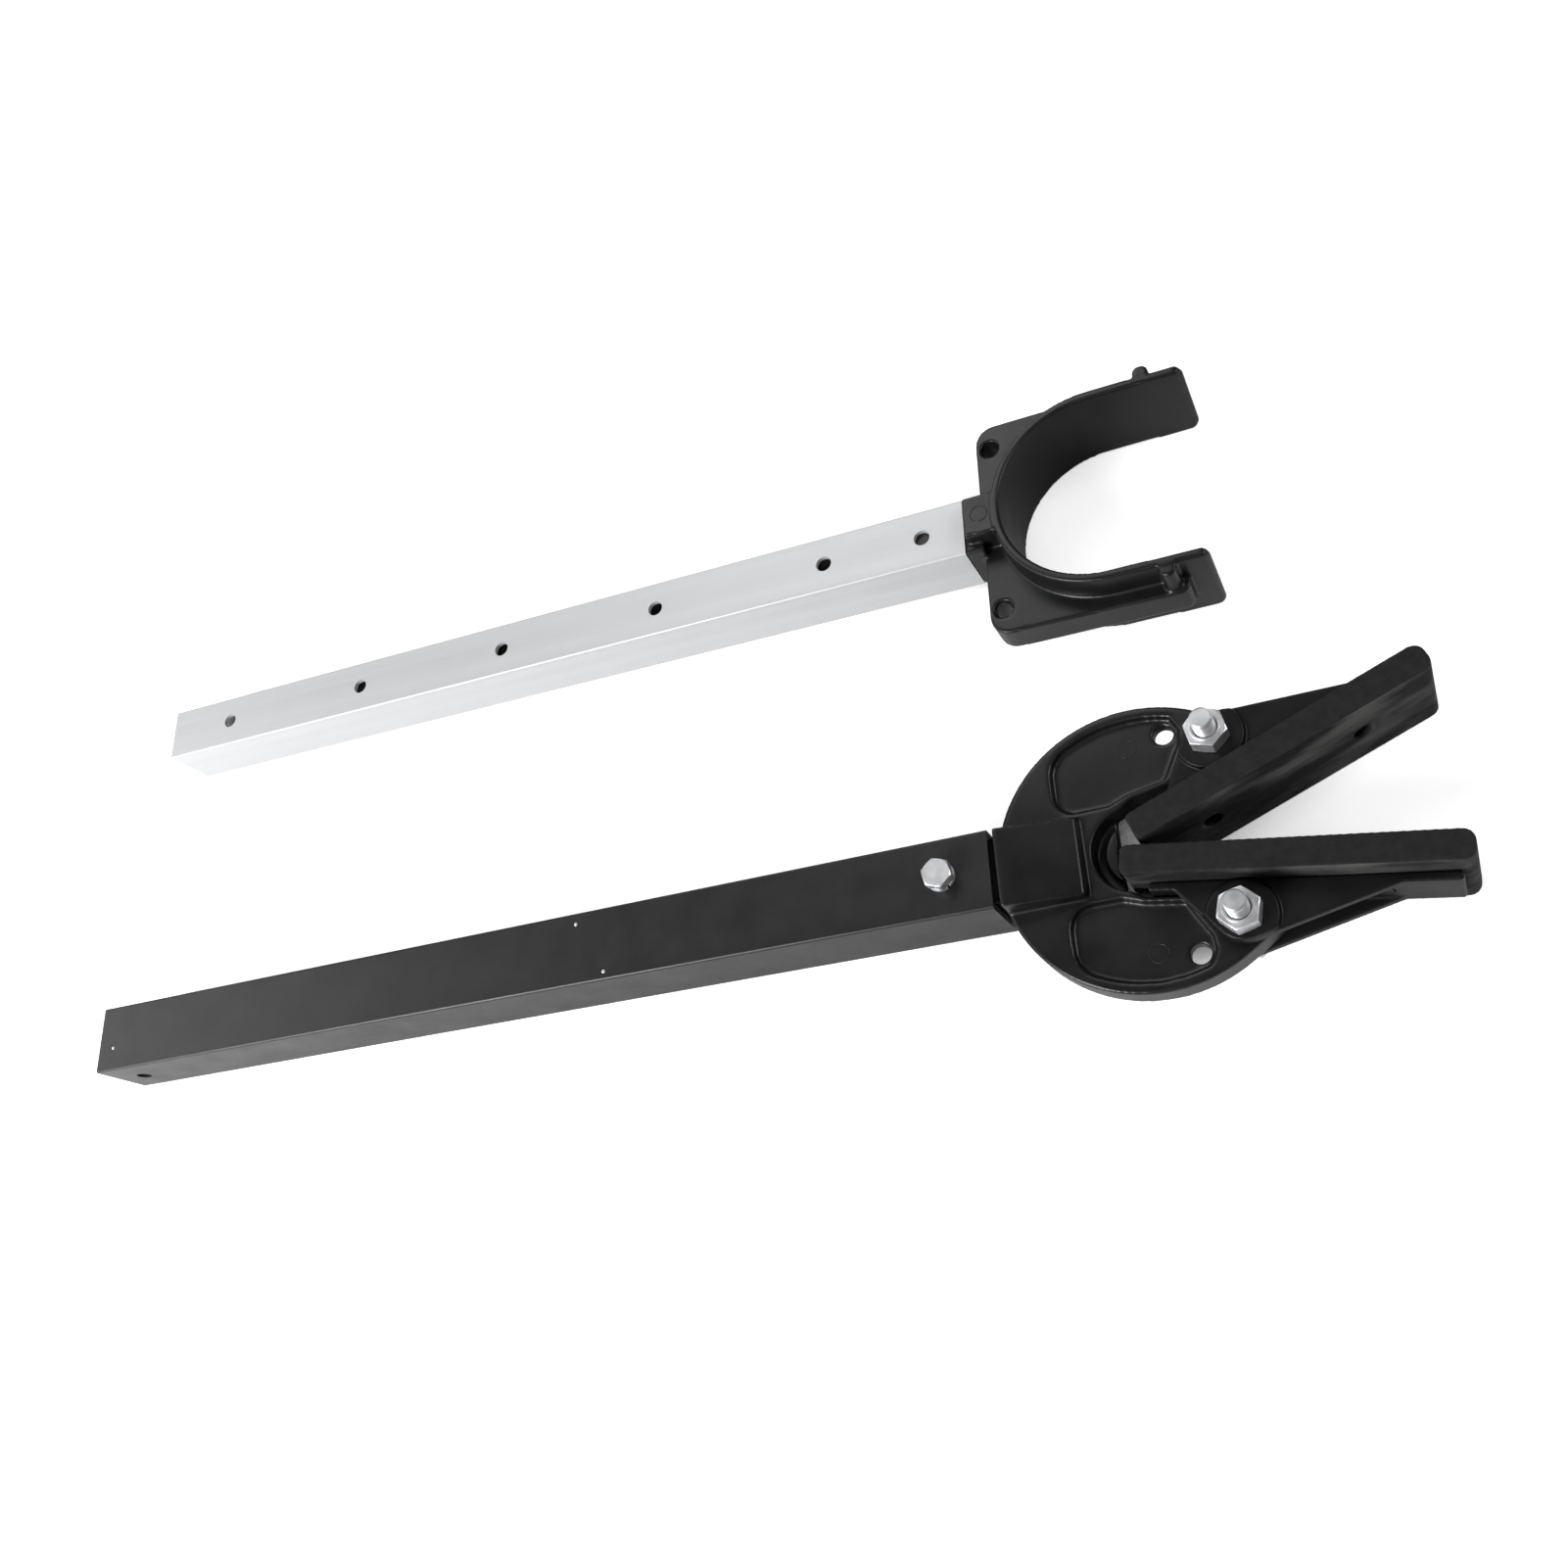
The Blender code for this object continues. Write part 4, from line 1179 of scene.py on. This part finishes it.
@dataclass
class Studio:
    """Pale floor, soft lights and the camera."""

    palette: Palette
    floor_half: float = 6.0
    camera_place: tuple[float, float, float] = (0.35145, -0.33806, 0.67487)
    camera_turn: tuple[float, float, float] = (23.3576, 24.9241, -2.4237)
    lens: float = 35.395
    ambient: float = 0.13
    backdrop: float = 0.92

    def build(self) -> None:
        """Builds the floor, the lights, the surroundings and the camera."""
        self.build_floor()
        self.build_lights()
        self.build_world()
        self.build_camera()

    def build_floor(self) -> None:
        """A wide sheet of paper under both halves."""
        clear_selection()
        bpy.ops.mesh.primitive_plane_add(size=2 * self.floor_half, location=(0, 0, -FLOOR_DROP))
        floor = settle(bpy.context.object, "paper_floor")
        floor.data.materials.append(self.palette.paper)

    def add_light(self, name: str, place: tuple[float, float, float],
                  target: tuple[float, float, float], size: float, power: float) -> None:
        """Adds a square soft light aimed at a point.

        Args:
            name: the light's name.
            place: its position.
            target: the point that it faces.
            size: its side.
            power: its power in watts.
        """
        data = bpy.data.lights.new(name, "AREA")
        data.shape = "SQUARE"
        data.size = size
        data.energy = power
        light = bpy.data.objects.new(name, data)
        bpy.context.scene.collection.objects.link(light)
        light.location = place
        aim = Vector(target) - Vector(place)
        light.rotation_euler = aim.to_track_quat("-Z", "Y").to_euler()

    def build_lights(self) -> None:
        """Softboxes on the left, in front, behind and on the right; the front one is strongest."""
        self.add_light("left_softbox", (-1.3, 0.2, 0.95), (0.0, 0.0, 0.0), 0.9, 5.0)
        self.add_light("front_softbox", (-0.88, -1.04, 0.88), (-0.28, -0.1, 0.0), 0.7, 38.0)
        self.add_light("back_softbox", (-0.3, 1.2, 1.3), (0.1, 0.0, 0.0), 0.9, 8.0)
        self.add_light("right_softbox", (1.4, 0.3, 1.0), (0.2, 0.0, 0.0), 0.6, 8.0)

    def build_world(self) -> None:
        """Dim surroundings behind a pale backdrop."""
        world = bpy.data.worlds.new("studio")
        world.use_nodes = True
        nodes = world.node_tree.nodes
        background = nodes["Background"]
        background.inputs["Color"].default_value = (1.0, 1.0, 1.0, 1.0)
        path = nodes.new("ShaderNodeLightPath")
        strength = nodes.new("ShaderNodeMapRange")
        strength.inputs["To Min"].default_value = self.ambient
        strength.inputs["To Max"].default_value = self.backdrop
        world.node_tree.links.new(path.outputs["Is Camera Ray"], strength.inputs["Value"])
        world.node_tree.links.new(strength.outputs["Result"], background.inputs["Strength"])
        bpy.context.scene.world = world
        bpy.context.scene.view_settings.view_transform = "Standard"

    def build_camera(self) -> None:
        """Camera above the front right, looking down at the heads."""
        data = bpy.data.cameras.new("camera")
        data.lens = self.lens
        data.sensor_width = SENSOR_WIDTH
        data.clip_start = 0.01
        camera = bpy.data.objects.new("camera", data)
        bpy.context.scene.collection.objects.link(camera)
        camera.location = self.camera_place
        camera.rotation_euler = [math.radians(angle) for angle in self.camera_turn]
        bpy.context.scene.camera = camera


def make_palette() -> Palette:
    """Builds every material.

    Returns:
        The palette.
    """
    groups = Groups(make_surface_grain(), make_edge_wear_and_highlight(), make_dust_film())
    slide = named(frame["joints"], "length_adjust")["axis"]
    skew = -math.atan2(slide[1], slide[0])
    return Palette(
        # The powder coat's last argument sets a painted sheen, lighter towards the tube's open end.
        powder=SatinBlack("satin_black_powder", (0.0045, 0.0045, 0.0050), (0.03, 0.03, 0.03),
                          0.40, 2200.0, 0.00003, 0.05, 0.41, (-0.15, -0.38)).build(groups),
        casting=SatinBlack("satin_black_cast", (0.0042, 0.0042, 0.0046), (0.04, 0.04, 0.04),
                           0.33, 1500.0, 0.00004, 0.04, 0.36).build(groups),
        bracket=SatinBlack("satin_black_bracket", (0.0036, 0.0036, 0.0040), (0.03, 0.03, 0.03),
                           0.42, 1500.0, 0.00004, 0.03, 0.20).build(groups),
        aluminium=DrawnAluminium("drawn_aluminium", (0.0, 0.0, skew)).build(groups),
        left_rubber=ChalkyRubber("chalky_rubber_left", math.radians(-21.4), 0.65).build(groups),
        right_rubber=ChalkyRubber("chalky_rubber_right", math.radians(8.6), 0.45).build(groups),
        zinc=BrightZinc("bright_zinc_plate", 0.36).build(groups),
        paper=StudioPaper("studio_paper", 0.84, 0.66).build(groups))


def main() -> None:
    """Builds the whole scene in order."""
    logging.basicConfig(level=logging.INFO, format="%(name)s: %(message)s")
    palette = make_palette()
    OuterTube(palette).build()
    DiscHead(palette).build()
    Arm(palette, Side.LEFT, Body.LEFT, palette.left_rubber, 12.0).build()
    Arm(palette, Side.RIGHT, Body.RIGHT, palette.right_rubber, -14.0).build()
    InnerHalf(palette).build()
    Studio(palette).build()


if __name__ == "__main__":
    main()
